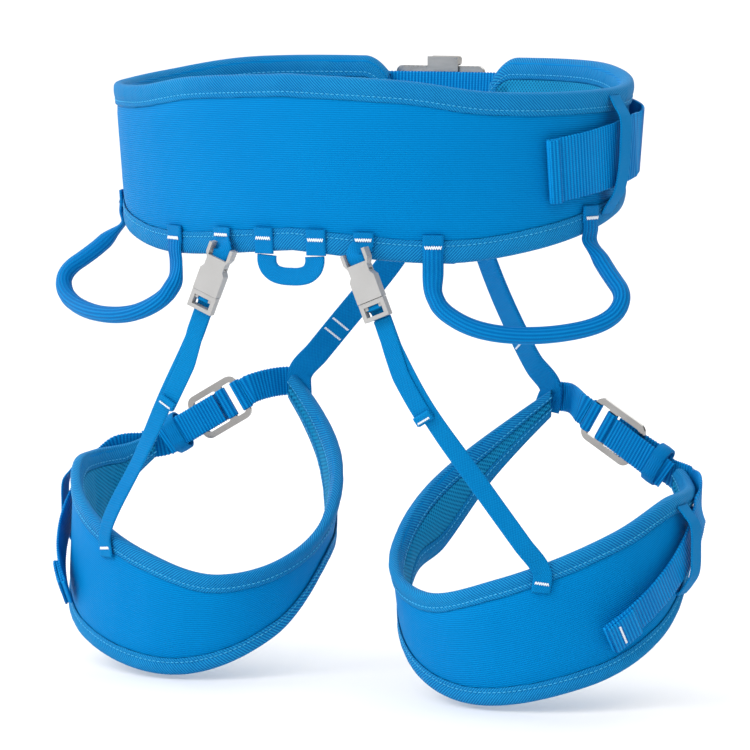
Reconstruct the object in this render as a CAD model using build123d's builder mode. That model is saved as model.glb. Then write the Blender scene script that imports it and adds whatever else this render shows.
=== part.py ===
"""Climbing harness: padded waist belt, two leg loops, tie-in group, risers and gear loops.

X is the wearer's right, Y the way the wearer faces and Z up, in millimetres. The origin is on
the waist's axis. Angles round the waist start at the back and turn towards the wearer's right.
"""
import os
from math import cos, radians, sin, tan

from build123d import *

os.makedirs("parts", exist_ok=True)

# ---- driving dimensions ------------------------------------------------------------------

UP = Vector(0, 0, 1)
GAP = 0.15  # clearance between pieces that are sewn face to face

# Waist pad: an ellipse in plan, leaning inwards towards its lower edge.
WAIST_HALF_WIDTH = 165
WAIST_HALF_DEPTH = 115
WAIST_LEAN = 0.07
WAIST_LEAN_FROM = 50
WAIST_TOP = [(0, 49.5), (25, 46), (45, 39.5), (82, 40), (105, 44), (135, 52), (180, 52)]
WAIST_BOTTOM = [(0, -54), (33, -60), (55, -54), (94, -35), (120, -24), (150, -19.5), (180, -19)]
WAIST_END = 167
WAIST_PAD = 7.5
WAIST_TAPE = 13.5

# Leg pads: a slanted ellipse in plan beside the centre line, open at the front.
LEG_CENTRE = 113
LEG_LONG = 92
LEG_SHORT = 79
LEG_TURN = 22
LEG_LEAN = 0.05
LEG_LEAN_FROM = -200
LEG_FRONT_END = 86
LEG_OUTER_END = 380
LEG_TOP = [(86, -152), (108, -176), (135, -203), (175, -240), (220, -257), (255, -244)]
LEG_TOP += [(300, -217), (325, -201), (343, -199), (366, -198), (380, -193)]
LEG_BOTTOM = [(86, -169), (108, -204), (135, -246), (157, -260), (190, -298), (235, -321)]
LEG_BOTTOM += [(284, -308), (320, -283), (345, -255), (365, -226), (380, -209)]
LEG_FLARE = [(86, 0), (130, 0.07), (180, 0.1), (300, 0.1), (345, 0.03), (362, 0), (380, 0)]
LEG_PAD = 5.5
LEG_TAPE = 11

# Sewn layers, webbing and tape.
LINING = 2.5
TAPE = 0.9
EDGE = 4
WAIST_WEBBING = (43, 2.0)
WAIST_STRAP = (38, 1.8)
LEG_WEBBING = (20, 1.8)
RISER_WEBBING = (10, 2.4)
TAB_WEBBING = (12.5, 2.0)
ELASTIC = (12, 1.2)

# Hardware.
PLATE = 3.0
WAIST_FRAME = (60.5, 51.5)
WAIST_FRAME_CENTRE = (-6.25, 20.25)
WAIST_FRAME_FACE = 119.0
LEG_FRAME = (38, 30)
LEG_FRAME_PLATE = 2.2
CLIP_WIDTH = 16.5
CLIP_THICK = 6.4
CLIP_SOCKET = 22
CLIP_PLUG = 11

# Places that several pieces share.
RISER_ANGLE = 16.5
HAUL_ANGLE = 6.0
GEAR_BACK_ANGLE = 31.5
GEAR_FRONT_ANGLE = 75
KEEPER_ANGLE = 83
TIE_IN = Vector(0, 117, -51)
CLIP_TOP = Vector(45.4, -111.5, -60)
CLIP_AXIS = Vector(0.38, 0, -0.925).normalized()
CLIP_FACE = Vector(0, -1, 0)


# ---- curves and frames -------------------------------------------------------------------

def along_points(points, value):
    """Height at value on a smooth curve through points (cubic Hermite spans)."""
    slopes = []
    for index in range(len(points)):
        (x0, y0), (x1, y1) = points[max(index - 1, 0)], points[min(index + 1, len(points) - 1)]
        slopes.append((y1 - y0) / (x1 - x0))
    for index, ((x0, y0), (x1, y1)) in enumerate(zip(points, points[1:])):
        if value <= x1 or index == len(points) - 2:
            span = x1 - x0
            part = min(max((value - x0) / span, 0), 1)
            rise = part * part * (3 - 2 * part)
            start = slopes[index] * span * part * (1 - part) ** 2
            end = slopes[index + 1] * span * part * part * (part - 1)
            return y0 + (y1 - y0) * rise + start + end


def waist_normal(angle):
    turn = radians(angle)
    return Vector(sin(turn) / WAIST_HALF_WIDTH, -cos(turn) / WAIST_HALF_DEPTH, 0).normalized()


def waist_point(angle, height, standoff):
    """A point standoff outside the waist pad's outer face."""
    turn = radians(angle)
    base = Vector(WAIST_HALF_WIDTH * sin(turn), -WAIST_HALF_DEPTH * cos(turn), height)
    lean = WAIST_LEAN * (WAIST_LEAN_FROM - height)
    return base + waist_normal(angle) * (standoff - lean)


def waist_edges(angle):
    """Heights of the waist pad's lower and upper edges, which are the same on both sides."""
    side = abs(angle)
    low = along_points(WAIST_BOTTOM, side)
    high = along_points(WAIST_TOP, side)
    close = max(side - (WAIST_END - 6), 0) / 6
    return low + 9 * close * close, high - 11 * close * close


def leg_normal(turn_angle):
    turn = radians(turn_angle)
    local = Vector(LEG_SHORT * cos(turn), LEG_LONG * sin(turn), 0)
    return local.rotate(Axis.Z, LEG_TURN).normalized()


def leg_point(turn_angle, height, standoff):
    """A point standoff outside the right leg pad's outer face."""
    turn = radians(turn_angle)
    local = Vector(LEG_LONG * cos(turn), LEG_SHORT * sin(turn), 0).rotate(Axis.Z, LEG_TURN)
    lean = LEG_LEAN * (LEG_LEAN_FROM - height)
    drop = along_points(LEG_TOP, turn_angle) - height
    flare = along_points(LEG_FLARE, turn_angle) * drop
    centre = Vector(LEG_CENTRE + flare, 0, height)
    return local + centre + leg_normal(turn_angle) * (standoff - lean)


def leg_edges(turn_angle):
    return along_points(LEG_BOTTOM, turn_angle), along_points(LEG_TOP, turn_angle)


def spread(start, end, count):
    """count + 1 evenly spaced values from start to end."""
    return [start + (end - start) * step / count for step in range(count + 1)]


# ---- sections of a padded band: (standoff, height) corners ---------------------------------

def tape_width(low, high, tape):
    return min(tape, 0.36 * (high - low))


def shell_section(low, high, pad, tape):
    edge = tape_width(low, high, tape)
    top = high - TAPE - GAP
    base = low + TAPE + GAP
    return [(0, base), (0, top), (-EDGE, top), (-pad, high - edge), (-pad, low + edge), (-EDGE, base)]


def lining_section(low, high, pad, tape):
    edge = tape_width(low, high, tape)
    top = high - edge - GAP
    base = low + edge + GAP
    slope = min(5, 0.25 * (top - base))
    back = -pad - GAP
    thin = -pad - TAPE
    full = -pad - LINING
    return [(back, base), (back, top), (thin, top), (full, top - slope), (full, base + slope), (thin, base)]


def tape_section(edge_height, inner_height, pad):
    """A binding folded over one edge, from its outer leg round to its inner leg."""
    step = 1 if edge_height > inner_height else -1
    under = edge_height - step * TAPE
    out = GAP
    back = -pad - GAP
    return [
        (out, inner_height),
        (out + TAPE, inner_height),
        (out + TAPE, edge_height),
        (-EDGE - GAP - TAPE, edge_height),
        (back - TAPE, inner_height),
        (back, inner_height),
        (-EDGE - GAP, under),
        (out, under),
    ]


def band(angles, section, point, normal):
    """Loft the section's corners through every angle of a pad."""
    with BuildPart() as strip:
        for angle in angles:
            facing = normal(angle)
            base = point(angle, 0, 0)
            across = Plane(origin=(base.X, base.Y, 0), x_dir=facing, z_dir=facing.cross(UP))
            corners = []
            for standoff, height in section(angle):
                local = across.to_local_coords(point(angle, height, standoff))
                corners.append((local.X, local.Y))
            with BuildSketch(across):
                with BuildLine():
                    Polyline(*corners, close=True)
                make_face()
        loft(ruled=True)
    return strip


def webbing(route, facings, width, thickness, ruled=False):
    """Loft a flat strap through the points of its route."""
    with BuildPart() as strap:
        for index, place in enumerate(route):
            ahead = route[min(index + 1, len(route) - 1)] - route[max(index - 1, 0)]
            run = ahead.normalized()
            facing = facings[index] - run * run.dot(facings[index])
            with BuildSketch(Plane(origin=place, x_dir=facing.normalized(), z_dir=run)):
                Rectangle(thickness, width)
        loft(ruled=ruled)
    return strap


def smooth_route(points, facings, count):
    """Even stations on a spline through points, with the facings turned gradually."""
    curve = Spline(*points)
    route = []
    turned = []
    for part in spread(0, 1, count):
        place = curve @ part
        route.append(place)
        step = min(int(part * (len(points) - 1)), len(points) - 2)
        share = part * (len(points) - 1) - step
        turned.append(facings[step] * (1 - share) + facings[step + 1] * share)
    return route, turned


def mirrored(source):
    with BuildPart() as other:
        mirror(source.part, about=Plane.YZ)
    return other


def together(*pieces):
    """Several separate solids of one node."""
    with BuildPart() as group:
        for piece in pieces:
            add(piece.part)
    return group


def save(piece, name):
    piece.part.label = name
    export_step(piece.part, f"parts/{name}.step")


def save_both(piece, name):
    """Write the wearer's right piece and its mirror image."""
    save(piece, f"{name}_right")
    save(mirrored(piece), f"{name}_left")


def arc_strap(arc, width, thickness, fold, fold_length):
    """A strap along one arc, whose free end is folded over into a thicker block."""
    centre = arc.arc_center
    stations = spread(0, 1, 8)
    route = [arc @ part for part in stations]
    facings = [place - centre for place in route]
    run = webbing(route, facings, width, thickness)
    fold_stations = spread(1 - fold_length / arc.length, 1, 3)
    lift = (fold - thickness) / 2
    fold_facings = [((arc @ part) - centre).normalized() for part in fold_stations]
    fold_route = [(arc @ part) + facing * lift for part, facing in zip(fold_stations, fold_facings)]
    return together(run, webbing(fold_route, fold_facings, width, fold))


# ---- waist pad -----------------------------------------------------------------------------

WAIST_ANGLES = spread(-WAIST_END, WAIST_END, 44)


def waist_shell_corners(angle):
    return shell_section(*waist_edges(angle), WAIST_PAD, WAIST_TAPE)


def waist_lining_corners(angle):
    return lining_section(*waist_edges(angle), WAIST_PAD, WAIST_TAPE)


def waist_top_corners(angle):
    low, high = waist_edges(angle)
    return tape_section(high, high - tape_width(low, high, WAIST_TAPE), WAIST_PAD)


def waist_bottom_corners(angle):
    low, high = waist_edges(angle)
    return tape_section(low, low + tape_width(low, high, WAIST_TAPE), WAIST_PAD)


save(band(WAIST_ANGLES, waist_shell_corners, waist_point, waist_normal), "waist_shell")
save(band(WAIST_ANGLES, waist_lining_corners, waist_point, waist_normal), "waist_lining")
save(band(WAIST_ANGLES, waist_top_corners, waist_point, waist_normal), "waist_binding_top")
save(band(WAIST_ANGLES, waist_bottom_corners, waist_point, waist_normal), "waist_binding_bottom")


def waist_end_corners(angle):
    low, high = waist_edges(WAIST_END)
    return [(TAPE, low), (TAPE, high), (-WAIST_PAD - 1, high), (-WAIST_PAD - 1, low)]


END_ANGLES = spread(WAIST_END + 0.1, WAIST_END + 0.8, 2)
waist_end = band(END_ANGLES, waist_end_corners, waist_point, waist_normal)
save(together(waist_end, mirrored(waist_end)), "waist_end_bindings")

# ---- waist webbing, strap and keeper ---------------------------------------------------------


def waist_facing(angle):
    return waist_normal(angle) - UP * WAIST_LEAN


def on_waist(angles, height, standoff):
    """Stations of a strap that follows the waist; height and standoff go from start to end."""
    last = len(angles) - 1
    route = []
    for index, angle in enumerate(angles):
        part = index / last
        rise = height[0] + (height[1] - height[0]) * part
        lift = standoff[0] + (standoff[1] - standoff[0]) * part
        route.append(waist_point(angle, rise, lift))
    return route, [waist_facing(angle) for angle in angles]


FRONT_ANGLES = spread(126, 234, 12)
front_route, front_facings = on_waist(FRONT_ANGLES, (21, 21), (2.4, 2.4))
save(webbing(front_route, front_facings, *WAIST_WEBBING), "waist_webbing")

# The strap comes back from the slider over the frame's right bar and round to the keeper.
run_route = [Vector(0, 125.2, 21), Vector(14, 124.8, 21), Vector(28, 123.4, 20.6)]
run_facings = [Vector(0, 1, 0)] * 3
side_route, side_facings = on_waist(spread(160, 96, 7), (19.5, 6), (6.5, 8.0))
run_route += side_route
run_facings += side_facings
save(webbing(run_route, run_facings, *WAIST_STRAP), "waist_strap_run")

# The free end lies on one circle, so that it can slide round through the keeper.
TAIL_MARKS = [waist_point(93, 6, 8.2), waist_point(76, -1, 5.6), waist_point(59, -7, 4.4)]
TAIL_ARC = ThreePointArc(*TAIL_MARKS)
save(arc_strap(TAIL_ARC, *WAIST_STRAP, fold=5, fold_length=6), "waist_strap_tail")

KEEPER_PATH = [(1.9, 35.5), (5.5, 30), (10.2, 23), (11.6, 8), (11.4, -9), (9.2, -21), (5, -28), (1.9, -33.5)]
keeper_route = [waist_point(KEEPER_ANGLE, height, standoff) for standoff, height in KEEPER_PATH]
KEEPER_SLOPES = [0.8, 0.7, 0.35, 0, -0.05, -0.35, -0.6, -0.7]
keeper_facings = [waist_normal(KEEPER_ANGLE) + UP * slope for slope in KEEPER_SLOPES]
save(webbing(keeper_route, keeper_facings, *ELASTIC), "waist_keeper_loop")

# ---- waist buckle ----------------------------------------------------------------------------

frame_x, frame_z = WAIST_FRAME_CENTRE
FRAME_PLANE = Plane(origin=(frame_x, WAIST_FRAME_FACE, frame_z), x_dir=(1, 0, 0), z_dir=(0, -1, 0))
with BuildPart() as waist_frame:
    with BuildSketch(FRAME_PLANE):
        RectangleRounded(*WAIST_FRAME, 4)
        with Locations((-22, 0)):
            RectangleRounded(5, 40, 2, mode=Mode.SUBTRACT)
        with Locations((5, 0)):
            RectangleRounded(34, 40, 2, mode=Mode.SUBTRACT)
    extrude(amount=-PLATE)
    # Fine grip notches along both long edges.
    with BuildSketch(FRAME_PLANE):
        with GridLocations(3, WAIST_FRAME[1], 17, 2):
            Rectangle(1.2, 1.4)
    extrude(amount=-PLATE, mode=Mode.SUBTRACT)
save(waist_frame, "waist_buckle_frame")

SLIDER_X = -3.5
SLIDER_LIP = 9.4
SLIDER_LIP_SPAN = 53.9
SLIDER_FACE = WAIST_FRAME_FACE + PLATE + 0.4
SLIDER_PLANE = Plane(origin=(SLIDER_X, SLIDER_FACE, frame_z), x_dir=(1, 0, 0), z_dir=(0, -1, 0))
with BuildPart() as waist_slider:
    with BuildSketch(SLIDER_PLANE):
        Rectangle(5, 60)
        with Locations((0, 29), (0, -29)):
            RectangleRounded(21, 6, 2)
    extrude(amount=-1.6)
    # Ears that hook back past the frame's long edges.
    with BuildSketch(SLIDER_PLANE):
        with GridLocations(0, 58.6, 1, 2):
            Rectangle(21, 4.6)
    extrude(amount=PLATE + 0.8)
    # Lips that stand up behind the frame, towards the wearer.
    with BuildSketch(SLIDER_PLANE.offset(PLATE + 0.8)):
        with GridLocations(0, SLIDER_LIP_SPAN, 1, 2):
            Rectangle(21, SLIDER_LIP)
    extrude(amount=1.4)
save(waist_slider, "waist_buckle_slider")

# ---- tie-in group ------------------------------------------------------------------------------

TIE_IN_WIDTH = 14
TIE_IN_THICK = 2.2
TIE_IN_BACK = 108.8
BELAY_WIDTH = 15
BELAY_THICK = 4

# A strap across, held by two tabs that are sewn inside the waist webbing.
with BuildPart() as upper_tie_in:
    with BuildSketch(Plane.XZ.offset(-TIE_IN_BACK)):
        with Locations((0, -27)):
            Rectangle(56, TIE_IN_WIDTH)
        with Locations((21, -8.5), (-21, -8.5)):
            Rectangle(TIE_IN_WIDTH, 51)
    extrude(amount=-TIE_IN_THICK)
save(upper_tie_in, "upper_tie_in_loop")

# The bridge joins the two leg straps below it.
with BuildPart() as bridge:
    with BuildSketch(Plane.XZ.offset(-TIE_IN.Y + TIE_IN_THICK / 2)):
        with Locations((0, TIE_IN.Z)):
            Rectangle(26, 15)
    extrude(amount=-TIE_IN_THICK)
save(bridge, "leg_bridge")

# The belay loop runs round the tie-in strap and the bridge.
with BuildPart() as belay_loop:
    with BuildSketch(Plane.YZ):
        with Locations((115, -46.5)):
            SlotOverall(67, 32, rotation=90)
            SlotOverall(67 - 2 * BELAY_THICK, 32 - 2 * BELAY_THICK, rotation=90, mode=Mode.SUBTRACT)
    extrude(amount=BELAY_WIDTH / 2, both=True)
save(belay_loop, "belay_loop")

# ---- gear loops and haul loop ------------------------------------------------------------------

GEAR_RADIUS = 5
GEAR_ROUTE = [
    (84.3, -93.4, -75.5),
    (90, -95.5, -87),
    (114, -93, -98.5),
    (148, -80, -100.5),
    (179, -60, -94),
    (187, -50, -79),
    (171, -38, -66),
    (161.3, -31.6, -55.5),
]
SLEEVE_LENGTH = 12


def bend_radii(points):
    """The largest radius that each corner of a route has room for."""
    radii = []
    for before, corner, after in zip(points, points[1:], points[2:]):
        first = Vector(*corner) - Vector(*before)
        second = Vector(*after) - Vector(*corner)
        turn = radians(first.get_angle(second))
        radii.append(0.45 * min(first.length, second.length) / tan(turn / 2))
    return radii


with BuildPart() as gear_loop:
    with BuildLine() as gear_path:
        FilletPolyline(*GEAR_ROUTE, radius=bend_radii(GEAR_ROUTE))
    with BuildSketch(Plane(origin=gear_path.line @ 0, z_dir=gear_path.line % 0)):
        Circle(GEAR_RADIUS)
    sweep(path=gear_path.line)
save_both(gear_loop, "gear_loop")

# The tube's woven cover is pressed flat at both ends.
back_low = gear_path.line @ 0 - (gear_path.line % 0) * GAP
back_high = waist_point(GEAR_BACK_ANGLE, -64.4, 2.4)
front_low = gear_path.line @ 1 + (gear_path.line % 1) * GAP
front_high = waist_point(GEAR_FRONT_ANGLE, -48.4, 2.4)
back_sleeve = webbing([back_high, back_low], [waist_normal(GEAR_BACK_ANGLE)] * 2, 12, 4)
front_sleeve = webbing([front_high, front_low], [waist_normal(GEAR_FRONT_ANGLE)] * 2, 12, 4)
save_both(together(back_sleeve, front_sleeve), "gear_loop_sleeves")


def belt_tab(angle, top_height, low_height, standoff=2.2):
    """A fold of webbing sewn over the pad's lower binding."""
    route = [waist_point(angle, height, standoff) for height in (top_height, low_height)]
    return webbing(route, [waist_normal(angle)] * 2, *TAB_WEBBING)


gear_tabs = together(belt_tab(GEAR_BACK_ANGLE, -43, -60), belt_tab(GEAR_FRONT_ANGLE, -28, -44))
save(together(gear_tabs, mirrored(gear_tabs)), "gear_loop_tabs")

haul_tab = belt_tab(HAUL_ANGLE, -41, -55.6)
save(together(haul_tab, mirrored(haul_tab)), "haul_loop_tabs")

HAUL_HINGE = Vector(0, -108.2, -57.2)
HAUL_HALF = [(9.3, -57.4), (21.8, -57.4), (20.5, -67), (13.5, -74)]
HAUL_HOLE = [(-9.3, -57.4), (-9.3, -63.5), (9.3, -63.5)]
HAUL_OUTLINE = HAUL_HALF + [(-x, z) for x, z in reversed(HAUL_HALF)] + HAUL_HOLE[1:]
with BuildPart() as haul_loop:
    with BuildSketch(Plane.XZ.offset(-HAUL_HINGE.Y - 1)):
        with BuildLine():
            Polyline(*HAUL_OUTLINE, close=True)
        make_face()
    extrude(amount=2)
save(haul_loop, "haul_loop")

# ---- risers --------------------------------------------------------------------------------------

def clip_point(across, down, out):
    """A place on the side-release buckle, from its webbing bar downwards."""
    side = CLIP_AXIS.cross(CLIP_FACE)
    return CLIP_TOP + CLIP_AXIS * down + CLIP_FACE * out + side * across


CLIP_SKETCH = Plane(origin=CLIP_TOP, x_dir=CLIP_AXIS, z_dir=CLIP_FACE)
SOCKET_HALF = [(-8, 6.2), (-8, 8.2), (-2, 8.2), (1.5, 6.4), (6, 6.4), (8.5, 8.2), (CLIP_SOCKET, 8.2)]

with BuildPart() as socket:
    with BuildSketch(CLIP_SKETCH):
        with BuildLine():
            lower = [(down, -half) for down, half in reversed(SOCKET_HALF)]
            Polyline(*SOCKET_HALF, *lower, (-0.5, -6.2), (-0.5, 6.2), close=True)
        make_face()
    extrude(amount=CLIP_THICK / 2, both=True)
    # The mouth that the plug's arms slide into.
    with BuildSketch(CLIP_SKETCH):
        with Locations((4, 0)):
            Rectangle(CLIP_SOCKET, 12.8, align=(Align.MIN, Align.CENTER))
    extrude(amount=1.8, both=True, mode=Mode.SUBTRACT)
save_both(socket, "riser_buckle_socket")

with BuildPart() as plug:
    with BuildSketch(CLIP_SKETCH):
        with Locations((CLIP_SOCKET + 0.3, 0)):
            Rectangle(CLIP_PLUG, CLIP_WIDTH, align=(Align.MIN, Align.CENTER))
        with Locations((CLIP_SOCKET + 3, 0)):
            Rectangle(6, 11.5, align=(Align.MIN, Align.CENTER), mode=Mode.SUBTRACT)
    extrude(amount=2.6, both=True)
    with BuildSketch(CLIP_SKETCH):
        with Locations((5, 4.9), (5, -4.9)):
            Rectangle(CLIP_SOCKET, 2.6, align=(Align.MIN, Align.CENTER))
        with Locations((12, 0)):
            Rectangle(12, 2, align=(Align.MIN, Align.CENTER))
    extrude(amount=1.5, both=True)
save_both(plug, "riser_buckle_plug")

# The tab holds the socket's bar; the end loop holds the plug's.
tab_route = [waist_point(RISER_ANGLE, -42, 2.8), waist_point(RISER_ANGLE - 0.2, -49, 3.4)]
tab_route += [clip_point(0, -6, -0.2), clip_point(0, -0.8, 0)]
tab_facings = [waist_normal(RISER_ANGLE), waist_normal(RISER_ANGLE), CLIP_FACE, CLIP_FACE]
riser_tab = webbing(tab_route, tab_facings, 9.5, 1.8)
save(together(riser_tab, mirrored(riser_tab)), "riser_tabs")

LOOP_DOWNS = [(26.7, 0.3), (27.4, -1.6), (28.6, -4.5), (34, -5.1), (52, -5.1)]
loop_route = [clip_point(0, down, out) for down, out in LOOP_DOWNS]
save_both(webbing(loop_route, [CLIP_FACE] * 5, RISER_WEBBING[0], 2.0, ruled=True), "riser_end_loop")

riser_top = clip_point(0, 52.8, -5.1)
riser_route = [riser_top, Vector(85, -103, -144), Vector(113, -90.5, -188), Vector(136, -82, -222)]
riser_route += [leg_point(271, -238, 5.2), leg_point(270, -250, 4.6)]
riser_facings = [CLIP_FACE, CLIP_FACE, leg_normal(278), leg_normal(274), leg_normal(271), leg_normal(270)]
riser_route, riser_facings = smooth_route(riser_route, riser_facings, 14)
save_both(webbing(riser_route, riser_facings, *RISER_WEBBING), "riser_strap")

# ---- leg pads ------------------------------------------------------------------------------------

LEG_ANGLES = spread(LEG_FRONT_END, LEG_OUTER_END, 42)


def leg_shell_corners(turn_angle):
    return shell_section(*leg_edges(turn_angle), LEG_PAD, LEG_TAPE)


def leg_lining_corners(turn_angle):
    return lining_section(*leg_edges(turn_angle), LEG_PAD, LEG_TAPE)


def leg_top_corners(turn_angle):
    low, high = leg_edges(turn_angle)
    return tape_section(high, high - tape_width(low, high, LEG_TAPE), LEG_PAD)


def leg_bottom_corners(turn_angle):
    low, high = leg_edges(turn_angle)
    return tape_section(low, low + tape_width(low, high, LEG_TAPE), LEG_PAD)


save_both(band(LEG_ANGLES, leg_shell_corners, leg_point, leg_normal), "leg_shell")
save_both(band(LEG_ANGLES, leg_lining_corners, leg_point, leg_normal), "leg_lining")
save_both(band(LEG_ANGLES, leg_top_corners, leg_point, leg_normal), "leg_binding_top")
save_both(band(LEG_ANGLES, leg_bottom_corners, leg_point, leg_normal), "leg_binding_bottom")

# ---- leg straps and buckles ------------------------------------------------------------------------

FRONT_ROUTE = [
    Vector(21, 114, -55),
    Vector(33, 106, -77),
    Vector(46, 97, -97),
    Vector(61, 88, -118),
    Vector(75, 81.5, -137),
    leg_point(86.5, -151, 3.2),
    leg_point(88, -165, 3.1),
]
FRONT_FACINGS = [Vector(0.49, 0.87, -0.05)] * 5 + [Vector(0.25, 0.97, 0), leg_normal(88)]
front_route, front_facings = smooth_route(FRONT_ROUTE, FRONT_FACINGS, 16)
save_both(webbing(front_route, front_facings, LEG_WEBBING[0] - 4, 3.2), "leg_front_strap")

LEG_FRAME_CENTRE = Vector(136, 62.5, -174)
LEG_FRAME_RUN = Vector(0.857, -0.064, -0.512).normalized()
LEG_FRAME_FACE = (Vector(0.16, 0.98, 0) - LEG_FRAME_RUN * LEG_FRAME_RUN.dot(Vector(0.16, 0.98, 0))).normalized()
LEG_FRAME_PLANE = Plane(origin=LEG_FRAME_CENTRE, x_dir=LEG_FRAME_RUN, z_dir=LEG_FRAME_FACE)
LEG_BARS = (-17.3, -5.5)


def frame_point(along, out):
    return LEG_FRAME_CENTRE + LEG_FRAME_RUN * along + LEG_FRAME_FACE * out


with BuildPart() as leg_frame:
    with BuildSketch(LEG_FRAME_PLANE):
        RectangleRounded(*LEG_FRAME, 6)
        with Locations((-11.4, 0)):
            RectangleRounded(8.4, 22, 2, mode=Mode.SUBTRACT)
        with Locations((5.9, 0)):
            RectangleRounded(19.4, 22, 3, mode=Mode.SUBTRACT)
    extrude(amount=LEG_FRAME_PLATE / 2, both=True)
save_both(leg_frame, "leg_buckle_frame")


def bar_loop(along, thickness):
    """The turn of a strap round one bar of the frame."""
    clear = 0.3
    with BuildPart() as turn:
        with BuildSketch(Plane(origin=frame_point(along, 0), x_dir=LEG_FRAME_RUN,
                               z_dir=LEG_FRAME_RUN.cross(LEG_FRAME_FACE))):
            RectangleRounded(3.6 + 2 * (clear + thickness), 2.2 + 2 * (clear + thickness), 1.2)
            Rectangle(3.6 + 2 * clear, 2.2 + 2 * clear, mode=Mode.SUBTRACT)
        extrude(amount=10, both=True)
    return turn


bar_strap = bar_loop(LEG_BARS[0], 1.2)
sewn_route = [frame_point(-21.2, 0), frame_point(-26, 0.3), Vector(106, 73.5, -158), Vector(98, 82, -157)]
sewn_route += [Vector(86, 84.2, -157)]
sewn_facings = [LEG_FRAME_FACE, LEG_FRAME_FACE, leg_normal(50), leg_normal(60), leg_normal(86)]
save_both(together(bar_strap, webbing(sewn_route, sewn_facings, 18, 2.6)), "leg_buckle_strap")

# The adjusting strap leaves the pad's outer end, turns round the middle bar and comes back.
middle_turn = bar_loop(LEG_BARS[1], 1.4)
strap_route = [leg_point(19, -201, 3.6), Vector(174, 64, -197.5), frame_point(23, 4.4), frame_point(-1, 2.3)]
strap_facings = [leg_normal(19), leg_normal(24), LEG_FRAME_FACE, LEG_FRAME_FACE]
under_route = [Vector(173, 56.6, -198), frame_point(24, -3.8), frame_point(-1, -2.5)]
save_both(webbing(strap_route, strap_facings, 19, 1.6), "leg_strap")
save_both(together(middle_turn, webbing(under_route, [LEG_FRAME_FACE] * 3, 19, 1.6)), "leg_strap_return")

# The pad's narrow end is folded into a sleeve round both layers.
with BuildPart() as end_sleeve:
    with BuildSketch(Plane(origin=frame_point(30.5, 0.4), x_dir=LEG_FRAME_FACE, z_dir=LEG_FRAME_RUN)):
        SlotOverall(26, 14.5, rotation=90)
        SlotOverall(26 - 2.6, 14.5 - 2.6, rotation=90, mode=Mode.SUBTRACT)
    extrude(amount=9)
save_both(end_sleeve, "leg_end_sleeve")

# Its free end slides on one circle over the pad's outer face.
LEG_TAIL_MARKS = [leg_point(352, -212, 5.2), leg_point(322, -246, 6.3), leg_point(292, -278, 7.6)]
save_both(arc_strap(ThreePointArc(*LEG_TAIL_MARKS), 20, 1.8, fold=5, fold_length=20), "leg_strap_tail")
lead_route = [leg_point(19, -203, 4.8), leg_point(5, -203, 4.6), leg_point(354, -210.5, 4.4)]
save_both(webbing(lead_route, [leg_normal(19), leg_normal(5), leg_normal(354)], 19, 1.6), "leg_strap_lead")

LEG_KEEPER_PATH = [(1.8, -206), (5.4, -210), (10.6, -217), (11.4, -231), (10.6, -246), (6, -254), (1.8, -259)]
LEG_KEEPER_ANGLE = 334
leg_keeper_route = [leg_point(LEG_KEEPER_ANGLE, height, out) for out, height in LEG_KEEPER_PATH]
LEG_KEEPER_SLOPES = [0.7, 0.6, 0.2, 0, -0.3, -0.5, -0.6]
leg_keeper_facings = [leg_normal(LEG_KEEPER_ANGLE) + UP * slope for slope in LEG_KEEPER_SLOPES]
save_both(webbing(leg_keeper_route, leg_keeper_facings, *ELASTIC), "leg_keeper_loop")
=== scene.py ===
"""Looks of the climbing harness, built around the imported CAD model.

The frame is the CAD's: X is the wearer's right, Y the way the wearer faces and Z up. Helpers work
in millimetres, and Shape.make writes metres. Weave coordinates are millimetres along and across.
"""

import math

import bmesh
import bpy
import numpy as np
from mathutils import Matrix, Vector
from mathutils.bvhtree import BVHTree


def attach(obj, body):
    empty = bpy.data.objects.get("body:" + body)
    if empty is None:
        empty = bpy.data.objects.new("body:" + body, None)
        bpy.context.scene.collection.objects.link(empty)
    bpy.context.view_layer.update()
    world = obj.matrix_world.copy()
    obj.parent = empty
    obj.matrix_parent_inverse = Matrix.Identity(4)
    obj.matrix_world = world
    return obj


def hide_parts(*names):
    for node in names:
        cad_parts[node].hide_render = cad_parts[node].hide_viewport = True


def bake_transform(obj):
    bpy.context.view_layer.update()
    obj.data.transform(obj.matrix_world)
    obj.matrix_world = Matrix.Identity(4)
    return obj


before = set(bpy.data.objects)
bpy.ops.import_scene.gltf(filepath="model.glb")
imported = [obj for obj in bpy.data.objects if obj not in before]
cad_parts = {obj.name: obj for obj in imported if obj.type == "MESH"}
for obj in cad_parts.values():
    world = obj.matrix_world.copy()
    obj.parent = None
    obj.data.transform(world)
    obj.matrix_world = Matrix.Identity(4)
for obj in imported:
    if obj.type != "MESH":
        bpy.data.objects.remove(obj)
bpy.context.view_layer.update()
scene = bpy.context.scene
MM = 0.001
UP = np.array([0.0, 0.0, 1.0])
FORWARD = np.array([0.0, 1.0, 0.0])
SIDES = ((1, "right"), (-1, "left"))


def unit(vectors):
    vectors = np.asarray(vectors, float)
    return vectors / np.linalg.norm(vectors, axis=-1, keepdims=True)


def square_to(run, vectors):
    """Unit vectors square to run, as near to vectors as they can be."""
    vectors = np.asarray(vectors, float)
    return unit(vectors - run * (run * vectors).sum(-1, keepdims=True))


def mirrored(side):
    return np.array([side, 1, 1])


def full_turn(count):
    return np.linspace(0, 2 * np.pi, count, endpoint=False)


# ---- the CAD's driving dimensions --------------------------------------------------------------

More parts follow.
